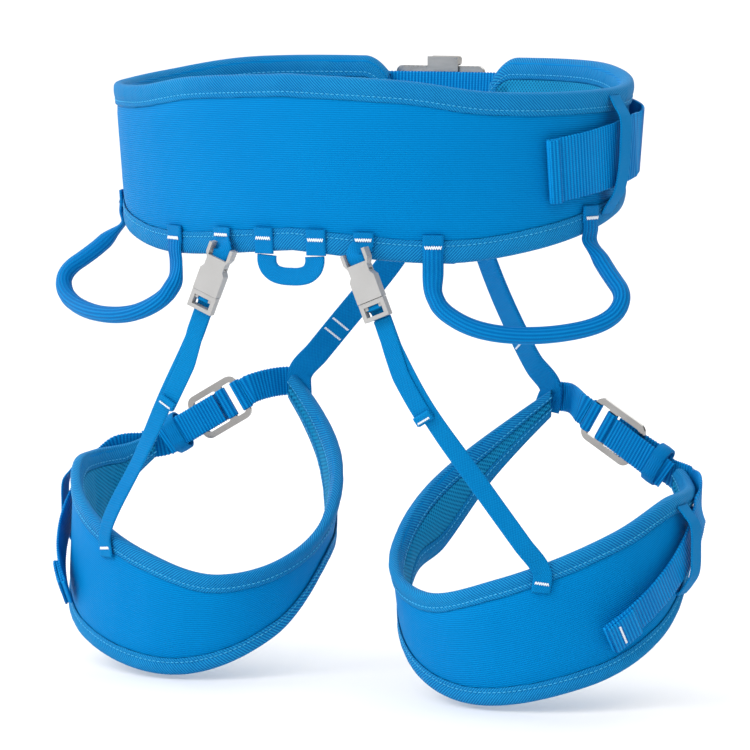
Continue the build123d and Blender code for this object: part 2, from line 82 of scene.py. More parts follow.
WAIST_HALF_WIDTH = 165
WAIST_HALF_DEPTH = 115
WAIST_LEAN = 0.07
WAIST_LEAN_FROM = 50
WAIST_TOP = [(0, 49.5), (25, 46), (45, 39.5), (82, 40), (105, 44), (135, 52), (180, 52)]
WAIST_BOTTOM = [(0, -54), (33, -60), (55, -54), (94, -35), (120, -24), (150, -19.5), (180, -19)]
WAIST_END = 167
WAIST_PAD = 7.5
WAIST_TAPE = 13.5
LEG_CENTRE = 113
LEG_LONG = 92
LEG_SHORT = 79
LEG_TURN = 22
LEG_LEAN = 0.05
LEG_LEAN_FROM = -200
LEG_FRONT_END = 86
LEG_OUTER_END = 380
LEG_TOP = [(86, -152), (108, -176), (135, -203), (175, -240), (220, -257), (255, -244),
           (300, -217), (325, -201), (343, -199), (366, -198), (380, -193)]
LEG_BOTTOM = [(86, -169), (108, -204), (135, -246), (157, -260), (190, -298), (235, -321),
              (284, -308), (320, -283), (345, -255), (365, -226), (380, -209)]
LEG_FLARE = [(86, 0), (130, 0.07), (180, 0.1), (300, 0.1), (345, 0.03), (362, 0), (380, 0)]
LEG_PAD = 5.5
LEG_TAPE = 11
LINING = 2.5
RISER_ANGLE = 16.5
HAUL_ANGLE = 6
GEAR_BACK_ANGLE = 31.5
GEAR_FRONT_ANGLE = 75
KEEPER_ANGLE = 83
LEG_KEEPER_ANGLE = 334
CLIP_TOP = np.array([45.4, -111.5, -60])
CLIP_AXIS = unit([0.38, 0, -0.925])
CLIP_FACE = np.array([0.0, -1.0, 0.0])
LEG_FRAME_CENTRE = np.array([136, 62.5, -174])
LEG_FRAME_RUN = unit([0.857, -0.064, -0.512])
LEG_FRAME_FACE = square_to(LEG_FRAME_RUN, [0.16, 0.98, 0.0])
LEG_FRAME_SIDE = np.cross(LEG_FRAME_RUN, LEG_FRAME_FACE)


# ---- curves and surfaces -----------------------------------------------------------------------

def curve_at(knots, rows, value):
    """Rows at value on the smooth curve through rows, which stand at knots."""
    order = np.arange(len(knots))
    before, after = np.maximum(order - 1, 0), np.minimum(order + 1, len(knots) - 1)
    slope = (rows[after] - rows[before]) / (knots[after] - knots[before])[:, None]
    at = np.clip(np.searchsorted(knots, value) - 1, 0, len(knots) - 2)
    span = (knots[at + 1] - knots[at])[..., None]
    part = np.clip((value - knots[at])[..., None] / span, 0, 1)
    start = slope[at] * span * part * (1 - part) ** 2
    end = slope[at + 1] * span * part * part * (part - 1)
    return rows[at] + (rows[at + 1] - rows[at]) * part * part * (3 - 2 * part) + (start + end)


def through(points, value):
    """Heights at value on the smooth curve through points."""
    points = np.array(points, float)
    return curve_at(points[:, 0], points[:, 1:], value)[..., 0]


def waist_normal(angle):
    turn = np.radians(np.asarray(angle, float))
    return unit(np.stack([np.sin(turn) / WAIST_HALF_WIDTH, -np.cos(turn) / WAIST_HALF_DEPTH, 0 * turn], -1))


def waist_point(angle, height, standoff):
    angle, height, standoff = np.broadcast_arrays(*(np.asarray(v, float) for v in (angle, height, standoff)))
    turn = np.radians(angle)
    base = np.stack([WAIST_HALF_WIDTH * np.sin(turn), -WAIST_HALF_DEPTH * np.cos(turn), height], -1)
    out = standoff - WAIST_LEAN * (WAIST_LEAN_FROM - height)
    return base + waist_normal(angle) * out[..., None]


def waist_edges(angle):
    side = np.abs(angle)
    close = np.maximum(side - (WAIST_END - 6), 0) / 6
    return through(WAIST_BOTTOM, side) + 9 * close**2, through(WAIST_TOP, side) - 11 * close**2


def waist_facing(angle):
    return waist_normal(angle) - UP * WAIST_LEAN


def leg_turned(local_x, local_y, height):
    c, s = math.cos(math.radians(LEG_TURN)), math.sin(math.radians(LEG_TURN))
    return np.stack([local_x * c - local_y * s, local_x * s + local_y * c, height], -1)


def leg_normal(angle):
    turn = np.radians(np.asarray(angle, float))
    return unit(leg_turned(LEG_SHORT * np.cos(turn), LEG_LONG * np.sin(turn), 0 * turn))


def leg_point(angle, height, standoff):
    angle, height, standoff = np.broadcast_arrays(*(np.asarray(v, float) for v in (angle, height, standoff)))
    turn = np.radians(angle)
    base = leg_turned(LEG_LONG * np.cos(turn), LEG_SHORT * np.sin(turn), height)
    out = standoff - LEG_LEAN * (LEG_LEAN_FROM - height)
    base[..., 0] += LEG_CENTRE + through(LEG_FLARE, angle) * (through(LEG_TOP, angle) - height)
    return base + leg_normal(angle) * out[..., None]


def leg_edges(angle):
    return through(LEG_BOTTOM, angle), through(LEG_TOP, angle)


def clip_point(across, down, out):
    side = np.cross(CLIP_AXIS, CLIP_FACE)
    return CLIP_TOP + CLIP_AXIS * down + CLIP_FACE * out + side * across


def frame_point(along, out):
    return LEG_FRAME_CENTRE + LEG_FRAME_RUN * along + LEG_FRAME_FACE * out


def lengths_of(points):
    return np.concatenate([[0], np.cumsum(np.linalg.norm(np.diff(points, axis=0), axis=1))])


def smooth_rows(rows, step):
    """Even stations on a smooth curve through rows, whose first three columns are the point."""
    rows = np.asarray(rows, float)
    knots = lengths_of(rows[:, :3])
    value = np.linspace(0, knots[-1], max(int(knots[-1] / step * 2), 8))
    return even_rows(curve_at(knots, rows, value), step)


def even_rows(rows, step):
    walked = lengths_of(rows[:, :3])
    even = np.linspace(0, walked[-1], max(int(walked[-1] / step), 4) + 1)
    return np.stack([np.interp(even, walked, column) for column in rows.T], -1)


def circle_through(a, b, c, count):
    """Points on the arc through three points, and the outward directions there."""
    u, v = b - a, c - a
    w = np.cross(u, v)
    centre = a + (np.cross(w, u) * (v @ v) + np.cross(v, w) * (u @ u)) / (2 * (w @ w))
    radius = np.linalg.norm(a - centre)
    x_axis = (a - centre) / radius
    y_axis = unit(np.cross(w, x_axis))
    whole = math.atan2((c - centre) @ y_axis, (c - centre) @ x_axis) % (2 * math.pi)
    turns = np.linspace(0, whole, count)
    out = np.outer(np.cos(turns), x_axis) + np.outer(np.sin(turns), y_axis)
    return centre + out * radius, out


def ripple(distance, waves):
    """Gentle unevenness: the sum of (size, wavelength, phase) waves."""
    return sum(size * np.sin(2 * np.pi * distance / wave + phase) for size, wave, phase in waves)


LOOSE_WAVES = [(0.16, 47, 0.4), (0.10, 23, 2.1), (0.07, 11.3, 4.0), (0.04, 6.1, 1.3)]


# ---- meshes ------------------------------------------------------------------------------------

def linked(name, data):
    """A new object in the scene."""
    made = bpy.data.objects.new(name, data)
    scene.collection.objects.link(made)
    return made


class Shape:
    """Points, faces and weave coordinates gathered for one mesh."""

    def __init__(self):
        self.points, self.faces, self.weave, self.count = [], [], [], 0

    def add(self, points, faces, weave):
        self.points.append(np.asarray(points, float))
        self.faces += [[index + self.count for index in face] for face in faces]
        self.weave.append(np.asarray(weave, float))
        self.count += len(points)
        return self

    def skin(self, rings, along, around, capped=True):
        """Quads between rings; along is each ring's weave distance and around each column's."""
        rings = np.asarray(rings, float)
        n, m = rings.shape[:2]
        i, j = (grid.ravel() for grid in np.meshgrid(np.arange(n - 1), np.arange(m), indexing="ij"))
        k = (j + 1) % m
        quads = np.stack([i * m + j, i * m + k, (i + 1) * m + k, (i + 1) * m + j], -1)
        along = np.broadcast_to(np.asarray(along, float)[:, None], (n, m + 1))
        around = np.asarray(around, float)
        if around.shape[-1] == m:
            around = np.concatenate([around, around[..., :1]], -1)
        around = np.broadcast_to(around, (n, m + 1))
        corners = [(i, j), (i, j + 1), (i + 1, j + 1), (i + 1, j)]
        weave = np.stack([np.stack([along[c], around[c]], -1) for c in corners], 1).reshape(-1, 2)
        faces = quads.tolist()
        if capped:
            faces += [list(range(m))[::-1], list(range((n - 1) * m, n * m))]
            first = np.stack([along[0, :m], around[0, :m]], -1)[::-1]
            last = np.stack([along[-1, :m], around[-1, :m]], -1)
            weave = np.concatenate([weave, first, last])
        return self.add(rings.reshape(-1, 3), faces, weave)

    def make(self, name, material, body=None, side=1, replaces=()):
        """The mesh object; side is -1 for the mirror image. A piece that stands for nodes hides them."""
        points = np.concatenate(self.points) * MM * mirrored(side)
        mesh = bpy.data.meshes.new(name)
        mesh.from_pydata(points.tolist(), [], self.faces)
        layer = mesh.uv_layers.new(name="weave")
        layer.data.foreach_set("uv", np.concatenate(self.weave).astype(np.float32).ravel())
        work = bmesh.new()
        work.from_mesh(mesh)
        bmesh.ops.recalc_face_normals(work, faces=work.faces)
        work.to_mesh(mesh)
        work.free()
        mesh.polygons.foreach_set("use_smooth", [True] * len(mesh.polygons))
        mesh.materials.append(material)
        piece = linked(name, mesh)
        if replaces:
            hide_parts(*replaces)
        if body:
            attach(piece, body)
        return piece


def tape_outline(width, thickness, flat=9, arc=3):
    """Rounded flat section as (across, out) points and how far each is from the middle."""
    reach, radius = width / 2 - thickness / 2, thickness / 2
    turns = np.linspace(-90, 90, arc + 2)[1:-1]
    face = np.linspace(-reach, reach, flat)
    right = [(reach + radius * math.cos(math.radians(t)), -radius * math.sin(math.radians(t))) for t in turns]
    points = [(x, radius) for x in face] + [(x, y) for x, y in right]
    points += [(-x, -y) for x, y in points]
    return np.array(points)


def strap_rings(rows, width, thickness, step=1.2, rib=None):
    """Rings of a woven strap along rows of (point, facing, width share)."""
    rows = smooth_rows(rows, step)
    places, facings, shares = rows[:, :3], rows[:, 3:6], rows[:, 6]
    walked = lengths_of(places)
    run = unit(np.gradient(places, walked, axis=0))
    facings = square_to(run, facings)
    across = np.cross(run, facings)
    outline = tape_outline(width, thickness)
    out = np.broadcast_to(outline[:, 1], (len(rows), len(outline))).copy()
    wide = np.outer(shares, outline[:, 0])
    if rib:
        pitch, depth = rib
        wave = np.cos(2 * np.pi * walked / pitch)
        out *= (1 + depth * wave)[:, None]
        wide += np.sign(outline[:, 0]) * (np.abs(outline[:, 0]) > width * 0.42) * 0.22 * wave[:, None]
    rings = places[:, None] + across[:, None] * wide[..., None] + facings[:, None] * out[..., None]
    return rings, walked, outline[:, 0]


def rows_of(places, facings, shares=1.0):
    places = np.asarray(places, float)
    facings = np.broadcast_to(unit(facings), places.shape)
    shares = np.broadcast_to(np.asarray(shares, float), (len(places),))
    return np.concatenate([places, facings, shares[:, None]], 1)


def strap(rows, width, thickness, **style):
    return Shape().skin(*strap_rings(rows, width, thickness, **style))


def fold_rows(end, run, facing, layer, length, curve=0.0):
    """A strap's end folded back on itself twice, as (point, facing) rows after the end point."""
    radius = layer / 2
    plane = []
    for turn in np.linspace(-90, 90, 7):
        t = math.radians(turn)
        plane.append((-radius + radius * math.cos(t), radius + radius * math.sin(t), t + math.pi / 2))
    for turn in np.linspace(-90, 90, 7):
        t = math.radians(turn)
        plane.append((-length - radius * math.cos(t), 3 * radius + radius * math.sin(t), math.pi / 2 - t))
    plane.append((-length * 0.45, 4 * radius, 0.0))
    plane.append((-0.2, 4 * radius, 0.0))
    rows = []
    for x, y, heading in plane:
        place = end + run * x + facing * (y - curve * x * x / 2)
        rows.append(np.concatenate([place, facing * math.cos(heading) - run * math.sin(heading), [1]]))
    return np.array(rows)


CAPSULE_RINGS = [(-0.38, 0.82), (0, 1), (0.38, 0.82)]


def capsule():
    """Points and faces of one stitch, a unit long, round an X axis."""
    points = [(-0.5, 0, 0)]
    for x, size in CAPSULE_RINGS:
        for turn in range(6):
            t = math.radians(60 * turn)
            points.append((x, size * math.cos(t) / 2, size * math.sin(t) / 2))
    points.append((0.5, 0, 0))
    faces = [[0, 1 + (k + 1) % 6, 1 + k] for k in range(6)]
    for ring in range(2):
        for k in range(6):
            a, b = 1 + ring * 6 + k, 1 + ring * 6 + (k + 1) % 6
            faces.append([a, b, b + 6, a + 6])
    faces += [[13 + k, 13 + (k + 1) % 6, 19] for k in range(6)]
    return np.array(points, float), faces


CAPSULE_POINTS, CAPSULE_FACES = capsule()


def add_stitches(shape, places, alongs, normals, length, width, height):
    alongs = unit(alongs)
    normals = square_to(alongs, normals)
    sizes = CAPSULE_POINTS * (length, width, height)
    weave = np.concatenate([CAPSULE_POINTS[face][:, :2] * length for face in CAPSULE_FACES])
    for place, along, normal in zip(places, alongs, normals):
        axes = np.array([along, np.cross(normal, along), normal])
        shape.add(place + sizes @ axes, CAPSULE_FACES, weave)


STITCH_PITCH = 3.1


def stitch_line(shape, points, normals):
    """Dashes of thread along a line on a surface."""
    rows = even_rows(np.concatenate([points, normals], 1), STITCH_PITCH)
    ahead = np.gradient(rows[:, :3], axis=0)
    add_stitches(shape, rows[:, :3], ahead, rows[:, 3:6], 2.3, 0.62, 0.6)


def bar_tack(shape, centre, along, normal, length, width):
    """A dense zigzag of thread, length along and width across."""
    along = unit(along)
    normal = square_to(along, normal)
    count = max(int(length / 0.62), 3)
    places = centre + np.outer(np.linspace(-length / 2, length / 2, count), along)
    lean = np.where(np.arange(count) % 2, 0.32, -0.32)
    heading = np.cross(normal, along) + np.outer(lean, along)
    add_stitches(shape, places, heading, np.tile(normal, (count, 1)), width, 0.78, 0.75)


# ---- materials ---------------------------------------------------------------------------------

WHITE = (1, 1, 1)


class Finish:
    """A node material under construction."""

    def __init__(self, name):
        self.material = bpy.data.materials.new(name)
        self.material.use_nodes = True
        self.tree = self.material.node_tree
        self.tree.nodes.clear()
        self.output = self.node("ShaderNodeOutputMaterial")
        self.shader = self.node("ShaderNodeBsdfPrincipled")
        self.link(self.shader.outputs[0], self.output.inputs[0])

    def node(self, kind, **values):
        made = self.tree.nodes.new(kind)
        for key, value in values.items():
            setattr(made, key, value)
        return made

    def link(self, source, target):
        self.tree.links.new(source, target)

    def put(self, target, value):
        if hasattr(value, "is_output"):
            self.link(value, target)
        else:
            target.default_value = value

    def math(self, operation, a, b=0.0, c=0.0):
        made = self.node("ShaderNodeMath", operation=operation)
        for target, value in zip(made.inputs, (a, b, c)):
            self.put(target, value)
        return made.outputs[0]

    def total(self, a, share_a, b, share_b):
        return self.math("ADD", self.math("MULTIPLY", a, share_a), self.math("MULTIPLY", b, share_b))

    def uneven(self, noise, share, value):
        """Value with noise added about its mean."""
        return self.math("MULTIPLY_ADD", self.math("SUBTRACT", noise, 0.5), share, value)

    def mix(self, share, a, b):
        """A colour between a and b, which are red, green and blue."""
        made = self.node("ShaderNodeMix", data_type="RGBA")
        self.put(made.inputs[0], share)
        self.put(made.inputs[6], (*a, 1))
        self.put(made.inputs[7], (*b, 1))
        return made.outputs[2]

    def noise(self, vector, scale, detail=2.0):
        made = self.node("ShaderNodeTexNoise")
        self.put(made.inputs["Vector"], vector)
        made.inputs["Scale"].default_value = scale
        made.inputs["Detail"].default_value = detail
        return made.outputs[0]

    def weave(self):
        """Millimetres along and across the cloth."""
        source = self.node("ShaderNodeUVMap", uv_map="weave")
        split = self.node("ShaderNodeSeparateXYZ")
        self.link(source.outputs[0], split.inputs[0])
        return source.outputs[0], split.outputs[0], split.outputs[1]

    def place(self):
        return self.node("ShaderNodeTexCoord").outputs["Object"]

    def wave(self, value, pitch, offset=0.0):
        turned = self.math("MULTIPLY_ADD", value, 2 * math.pi / pitch, offset)
        return self.math("MULTIPLY_ADD", self.math("SINE", turned), 0.5, 0.5)

    def bump(self, height, distance, strength=1.0):
        made = self.node("ShaderNodeBump")
        made.inputs["Strength"].default_value = strength
        made.inputs["Distance"].default_value = distance
        self.link(height, made.inputs["Height"])
        self.link(made.outputs[0], self.shader.inputs["Normal"])

    def surface(self, colour, roughness, sheen=0.0, sheen_tint=WHITE, metallic=0.0, specular=0.5,
                specular_tint=WHITE):
        values = {"Base Color": colour, "Roughness": roughness, "Metallic": metallic,
                  "Specular IOR Level": specular, "Specular Tint": (*specular_tint, 1),
                  "Sheen Weight": sheen, "Sheen Roughness": 0.45, "Sheen Tint": (*sheen_tint, 1)}
        for name, value in values.items():
            self.put(self.shader.inputs[name], value)
        return self.material


MESH_CELL = 2.6


def cloth_finish(name, gap_shade, bright, kind, roughness, sheen, depth=0.00022):
    """Woven cloth whose threads follow the weave coordinates: painted shade between them and in the holes, a
    painted lit colour on their tops, and random tone.
    """
    finish = Finish(name)
    vector, along, across = finish.weave()
    if kind == "shell":
        ribs = finish.wave(across, 1.25)
        yarn = finish.wave(along, 0.95)
        fine = finish.math("MULTIPLY", ribs, finish.math("MULTIPLY_ADD", yarn, 0.5, 0.5))
        height = finish.total(ribs, 0.65, fine, 0.5)
    elif kind == "twill":
        lines = finish.wave(finish.math("ADD", along, across), 1.9)
        yarn = finish.wave(finish.math("SUBTRACT", along, finish.math("MULTIPLY", across, 0.8)), 1.2)
        height = finish.total(lines, 0.8, yarn, 0.3)
    elif kind == "ribbed":
        height = finish.total(finish.wave(along, 2.2), 0.75, finish.wave(across, 1.15), 0.3)
    elif kind == "plain":
        warp = finish.wave(along, 1.5)
        weft = finish.wave(across, 1.25)
        no_warp, no_weft = finish.math("SUBTRACT", 1.0, warp), finish.math("SUBTRACT", 1.0, weft)
        height = finish.total(warp, weft, no_warp, no_weft)
    elif kind == "lengthwise":
        ribs = finish.wave(across, 2.25)
        zigzag = finish.math("PINGPONG", finish.math("ADD", across, 40.0), 1.12)
        chevron = finish.math("ADD", along, zigzag)
        height = finish.total(ribs, 0.7, finish.wave(chevron, 1.3), 0.4)
    else:
        spots = []
        for shift in (0.0, math.pi):
            waves = (finish.wave(way, MESH_CELL, shift) for way in (along, across))
            spots.append(finish.math("MULTIPLY", *waves))
        holes = finish.math("POWER", finish.math("MAXIMUM", *spots), 1.6)
        height = finish.math("SUBTRACT", 1.0, holes)
    large = finish.noise(finish.place(), 18.0, 3.0)
    small = finish.noise(vector, 1.3, 2.0)
    # painted shade: the weave's relief, mixed with random noise, picks the colour, darker in the gaps and
    # holes and lighter on the thread tops
    tone_and_shade = finish.uneven(small, 0.35, finish.uneven(large, 0.5, height))
    ramp = finish.node("ShaderNodeMapRange")
    finish.put(ramp.inputs[0], tone_and_shade)
    ramp.inputs[1].default_value = 0.05 if kind == "mesh" else 0.15
    ramp.inputs[2].default_value = 1.05
    # the darker colour is painted shade in the gaps, the lighter one the painted lit tops of the threads
    colour = finish.mix(ramp.outputs[0], gap_shade, bright)
    finish.bump(finish.math("MULTIPLY_ADD", small, 0.25, height), depth)
    rough = finish.math("MULTIPLY_ADD", small, 0.16, roughness - 0.08)
    return finish.surface(colour, rough, sheen, bright, specular=0.14, specular_tint=(0.1, 0.6, 1))


def plain_finish(name, dark, light, roughness, metallic, grain, scratch, stretch=None):
    """Moulded plastic or metal with fine grain and uneven gloss."""
    finish = Finish(name)
    place = finish.place()
    if stretch:
        mapping = finish.node("ShaderNodeMapping")
        mapping.inputs["Scale"].default_value = stretch
        finish.link(place, mapping.inputs[0])
        place = mapping.outputs[0]
    cloud = finish.noise(place, 60.0, 3.0)
    fine = finish.noise(place, grain, 2.0)
    colour = finish.mix(cloud, dark, light)
    finish.bump(fine, scratch, 0.6)
    rough = finish.math("MULTIPLY_ADD", cloud, 0.14, roughness - 0.07)
    return finish.surface(colour, rough, metallic=metallic)


# each cloth gets a shaded colour, painted between its threads, and a lit colour, painted on the thread tops
SHELL = cloth_finish("shell_fabric", (0, 0.15, 0.43), (0, 0.22, 0.54), "shell", 0.66, 0.05, 0.00016)
LINING_MESH = cloth_finish("lining_mesh", (0, 0.07, 0.19), (0.012, 0.27, 0.52), "mesh", 0.72, 0.10)
BINDING = cloth_finish("binding_twill", (0.002, 0.10, 0.33), (0.014, 0.285, 0.58), "twill", 0.6, 0.06, 0.0003)
RIBBED = cloth_finish("webbing_ribbed", (0, 0.11, 0.36), (0.003, 0.27, 0.64), "ribbed", 0.50, 0.06)
WOVEN = cloth_finish("webbing_plain", (0, 0.13, 0.38), (0.004, 0.23, 0.55), "plain", 0.60, 0.08, 0.00025)
ELASTIC = cloth_finish("elastic_plain", (0, 0.14, 0.40), (0.004, 0.25, 0.57), "plain", 0.68, 0.08, 0.0003)
TUBE = cloth_finish("loop_cover", (0, 0.10, 0.33), (0.003, 0.21, 0.53), "lengthwise", 0.55, 0.08, 0.0003)
THREAD = plain_finish("thread_blue", (0.01, 0.30, 0.60), (0.05, 0.45, 0.74), 0.6, 0.0, 2600, 0.0001)
TACK = plain_finish("thread_white", (0.62, 0.70, 0.78), (0.90, 0.92, 0.94), 0.6, 0.0, 2600, 0.0001)
PLASTIC = plain_finish("buckle_plastic", (0.33, 0.325, 0.32), (0.41, 0.405, 0.40), 0.42, 0.0, 1400, 0.00003)
ALLOY = plain_finish("buckle_alloy", (0.30, 0.29, 0.275), (0.50, 0.485, 0.465), 0.30, 1.0, 1600, 0.00003,
                     stretch=(1, 1, 6))
STEEL = plain_finish("polished_steel", (0.17, 0.165, 0.16), (0.42, 0.41, 0.40), 0.14, 1.0, 260, 0.00004)


# ---- padded bands: waist and leg pads ----------------------------------------------------------

class Band:
    """One padded band: its surface formula, edges, end angles, pad thickness and binding width."""

    def __init__(self, name, point, edges, normal, ends, level, pad, tape, bulge):
        self.name, self.point, self.edges, self.normal = name, point, edges, normal
        self.ends, self.level, self.pad, self.tape, self.bulge = ends, level, pad, tape, bulge

    def angles(self, step):
        """Angles at even steps along the band at its level, and how far each is from the start."""
        dense = np.linspace(*self.ends, 400)
        walked = lengths_of(self.point(dense, self.level, 0))
        even = np.linspace(0, walked[-1], int(walked[-1] / step))
        return np.interp(even, walked, dense), even

    def tape_width(self, angle):
        low, high = self.edges(angle)
        return np.minimum(self.tape, 0.36 * (high - low))


WAIST = Band("waist", waist_point, waist_edges, waist_normal, (-WAIST_END, WAIST_END), 0,
             WAIST_PAD, WAIST_TAPE, 1.1)
LEG = Band("leg", leg_point, leg_edges, leg_normal, (LEG_FRONT_END, LEG_OUTER_END), -150,
           LEG_PAD, LEG_TAPE, 0.9)


CLOTH_FRAMES = 20


def puffed(band, voxel=0.0045, pressure=4.0, cap=2.2):
    """The band's foam and cloth swollen by a cloth simulation, as a tree that rays can hit."""
    angles, walked = band.angles(6.0)
    low, high = band.edges(angles)
    inner = -band.pad - LINING + 0.7
    shares = np.array([0.0, 0.04, 0.5, 0.96, 1.0, 1.0, 0.96, 0.5, 0.04, 0.0])
    outs = np.array([-2.0, -0.7, -0.7, -0.7, -2.0, inner + 1.2, inner, inner, inner, inner + 1.2])
    heights = (low + 2.0)[:, None] + ((high - low) - 4.0)[:, None] * shares
    start = Shape().skin(band.point(angles[:, None], heights, outs), walked, shares)
    pad = start.make(band.name + "_start", SHELL)
    remesh = pad.modifiers.new("remesh", "REMESH")
    remesh.mode = "VOXEL"
    remesh.voxel_size = voxel
    depsgraph = bpy.context.evaluated_depsgraph_get()
    even = bpy.data.meshes.new_from_object(pad.evaluated_get(depsgraph))
    bpy.data.objects.remove(pad)
    soft = linked(band.name + "_soft", even)
    rest = np.array([v.co for v in even.vertices])
    cloth = soft.modifiers.new("cloth", "CLOTH")
    cloth.settings.quality = 6
    cloth.settings.use_pressure = True
    cloth.settings.uniform_pressure_force = pressure
    cloth.settings.effector_weights.gravity = 0
    cloth.settings.tension_stiffness = 12
    cloth.settings.bending_stiffness = 0.4
    cloth.point_cache.frame_start = 1
    cloth.point_cache.frame_end = CLOTH_FRAMES
    for number in range(1, CLOTH_FRAMES + 1):
        scene.frame_set(number)
    depsgraph = bpy.context.evaluated_depsgraph_get()
    moved = soft.evaluated_get(depsgraph)
    swollen = np.array([v.co for v in moved.data.vertices])
    scene.frame_set(1)
    shift = swollen - rest
    size = np.linalg.norm(shift, axis=1, keepdims=True)
    limit = cap * MM
    kept = rest + shift / np.maximum(size, 1e-9) * limit * np.tanh(size / limit)
    polygons = [list(p.vertices) for p in even.polygons]
    tree = BVHTree.FromPolygons(kept.tolist(), polygons)
    bpy.data.objects.remove(soft)
    return tree


def standoff_field(band, tree, angles, heights, outside):
    """Standoffs where rays from one side meet the swollen pad, smoothed along the cloth."""
    base = band.point(angles[:, None], heights, 0 * heights)
    normal = np.broadcast_to(band.normal(angles)[:, None], base.shape)
    sign = 1 if outside else -1
    reach = 14.0 if outside else band.pad + LINING + 14.0
    plain = 0.0 if outside else -band.pad - LINING
    field = np.zeros(heights.shape)
    for i in range(heights.shape[0]):
        for j in range(heights.shape[1]):
            source = Vector(((base[i, j] + normal[i, j] * sign * reach) * MM).tolist())
            hit = tree.ray_cast(source, Vector((-sign * normal[i, j]).tolist()))
            field[i, j] = sign * (reach - hit[3] / MM) if hit[3] is not None else plain
    for _ in range(2):
        padded = np.pad(field, 1, mode="edge")
        field = (padded[1:-1, 1:-1] * 4 + padded[:-2, 1:-1] + padded[2:, 1:-1] + padded[1:-1, :-2]
                 + padded[1:-1, 2:]) / 8
    return field


MIDDLE_ROW = 13


def build_pad(band, side, suffix, body, tree):
    """The outer shell and the lining of one pad."""
    angles, walked = band.angles(3.0)
    low, high = (edge[:, None] for edge in band.edges(angles))
    edge = band.tape_width(angles)[:, None]
    share = np.linspace(0, 1, 2 * MIDDLE_ROW + 1)
    heights = (low + 3.2) + (high - low - 6.4) * share
    inside_low, inside_high = low + edge + 0.3, high - edge - 0.3
    near = np.minimum(heights - low - edge, high - edge - heights)
    seam = 1 / (1 + np.exp(-(near - 1.5) / 1.6))
    crown = 1 - np.abs(2 * share - 1) ** 2.6
    lining_heights = inside_low + (inside_high - inside_low) * share
    lining_crown = 1 - np.abs(2 * share - 1) ** 3.2
    if tree is None:
        outer = np.broadcast_to(band.bulge * crown, heights.shape)
        inner = -band.pad - LINING * (0.35 + 0.75 * lining_crown) * np.ones_like(lining_heights)
    else:
        outer = standoff_field(band, tree, angles, heights, True)
        outer = outer - np.median(outer[:, MIDDLE_ROW]) + band.bulge
        inner = standoff_field(band, tree, angles, lining_heights, False)
        inner = inner - np.median(inner[:, MIDDLE_ROW]) - band.pad - LINING
        ends = np.clip(1 - lining_crown, 0, 1)
        inner = inner * (1 - ends) + (-band.pad - 1.0) * ends
    wrinkle = ripple(walked, LOOSE_WAVES)[:, None] * crown * 0.6
    outer = np.clip(outer + wrinkle, -1.2, band.bulge + 0.6) * seam - 0.55 * (1 - seam)
    outer = np.minimum(outer, band.bulge + 0.6)
    back = -band.pad
    top = np.concatenate([high - 1.9, high - 1.35, high - 1.9, high - 3.4], 1)
    base = np.concatenate([low + 3.4, low + 1.9, low + 1.35, low + 1.9], 1)
    mid = (low + high) / 2
    ring_heights = np.concatenate([heights, top, mid + 0 * high, base], 1)
    ones = np.ones((len(angles), 1))
    turn_out = [-1.3, -3.2, -5.0, back]
    ring_out = np.concatenate([outer] + [ones * v for v in turn_out] + [ones * back]
                              + [ones * v for v in reversed(turn_out)], 1)
    rings = band.point(angles[:, None], ring_heights, ring_out)
    level = ring_heights if band is WAIST else ring_heights - mid
    shell = Shape().skin(rings, walked, level).make(
        f"{band.name}_pad{suffix}", SHELL, body, side, [f"{band.name}_shell{suffix}"])
    hidden = np.concatenate([inside_high - 0.2, mid + 0 * high, inside_low + 0.2], 1)
    ring_heights = np.concatenate([lining_heights, hidden], 1)
    ring_out = np.concatenate([inner] + [ones * (back - 0.2)] * 3, 1)
    rings = band.point(angles[:, None], ring_heights, ring_out)
    lining = Shape().skin(rings, walked, ring_heights - mid).make(
        f"{band.name}_lining_pad{suffix}", LINING_MESH, body, side, [f"{band.name}_lining{suffix}"])


def binding_profile(pad, tape):
    """The folded tape's outside as (standoff, depth below the pad's edge) stations."""
    return np.array([
        (0.75, tape), (1.12, tape - 0.8), (1.12, tape - 2.2), (0.98, tape - 3.2), (1.22, tape - 4.6),
        (1.55, tape * 0.5), (1.45, tape * 0.3), (0.95, 1.6), (-0.2, 0.55), (-1.7, 0.1), (-3.3, 0.15),
        (-4.9, 0.8), (-6.2 - (pad - 7.5) * 0.6, 2.2), (-pad - 0.6, tape * 0.4), (-pad - 1.15, tape * 0.6),
        (-pad - 1.3, tape - 2.4), (-pad - 1.3, tape - 0.9), (-pad - 0.9, tape)])


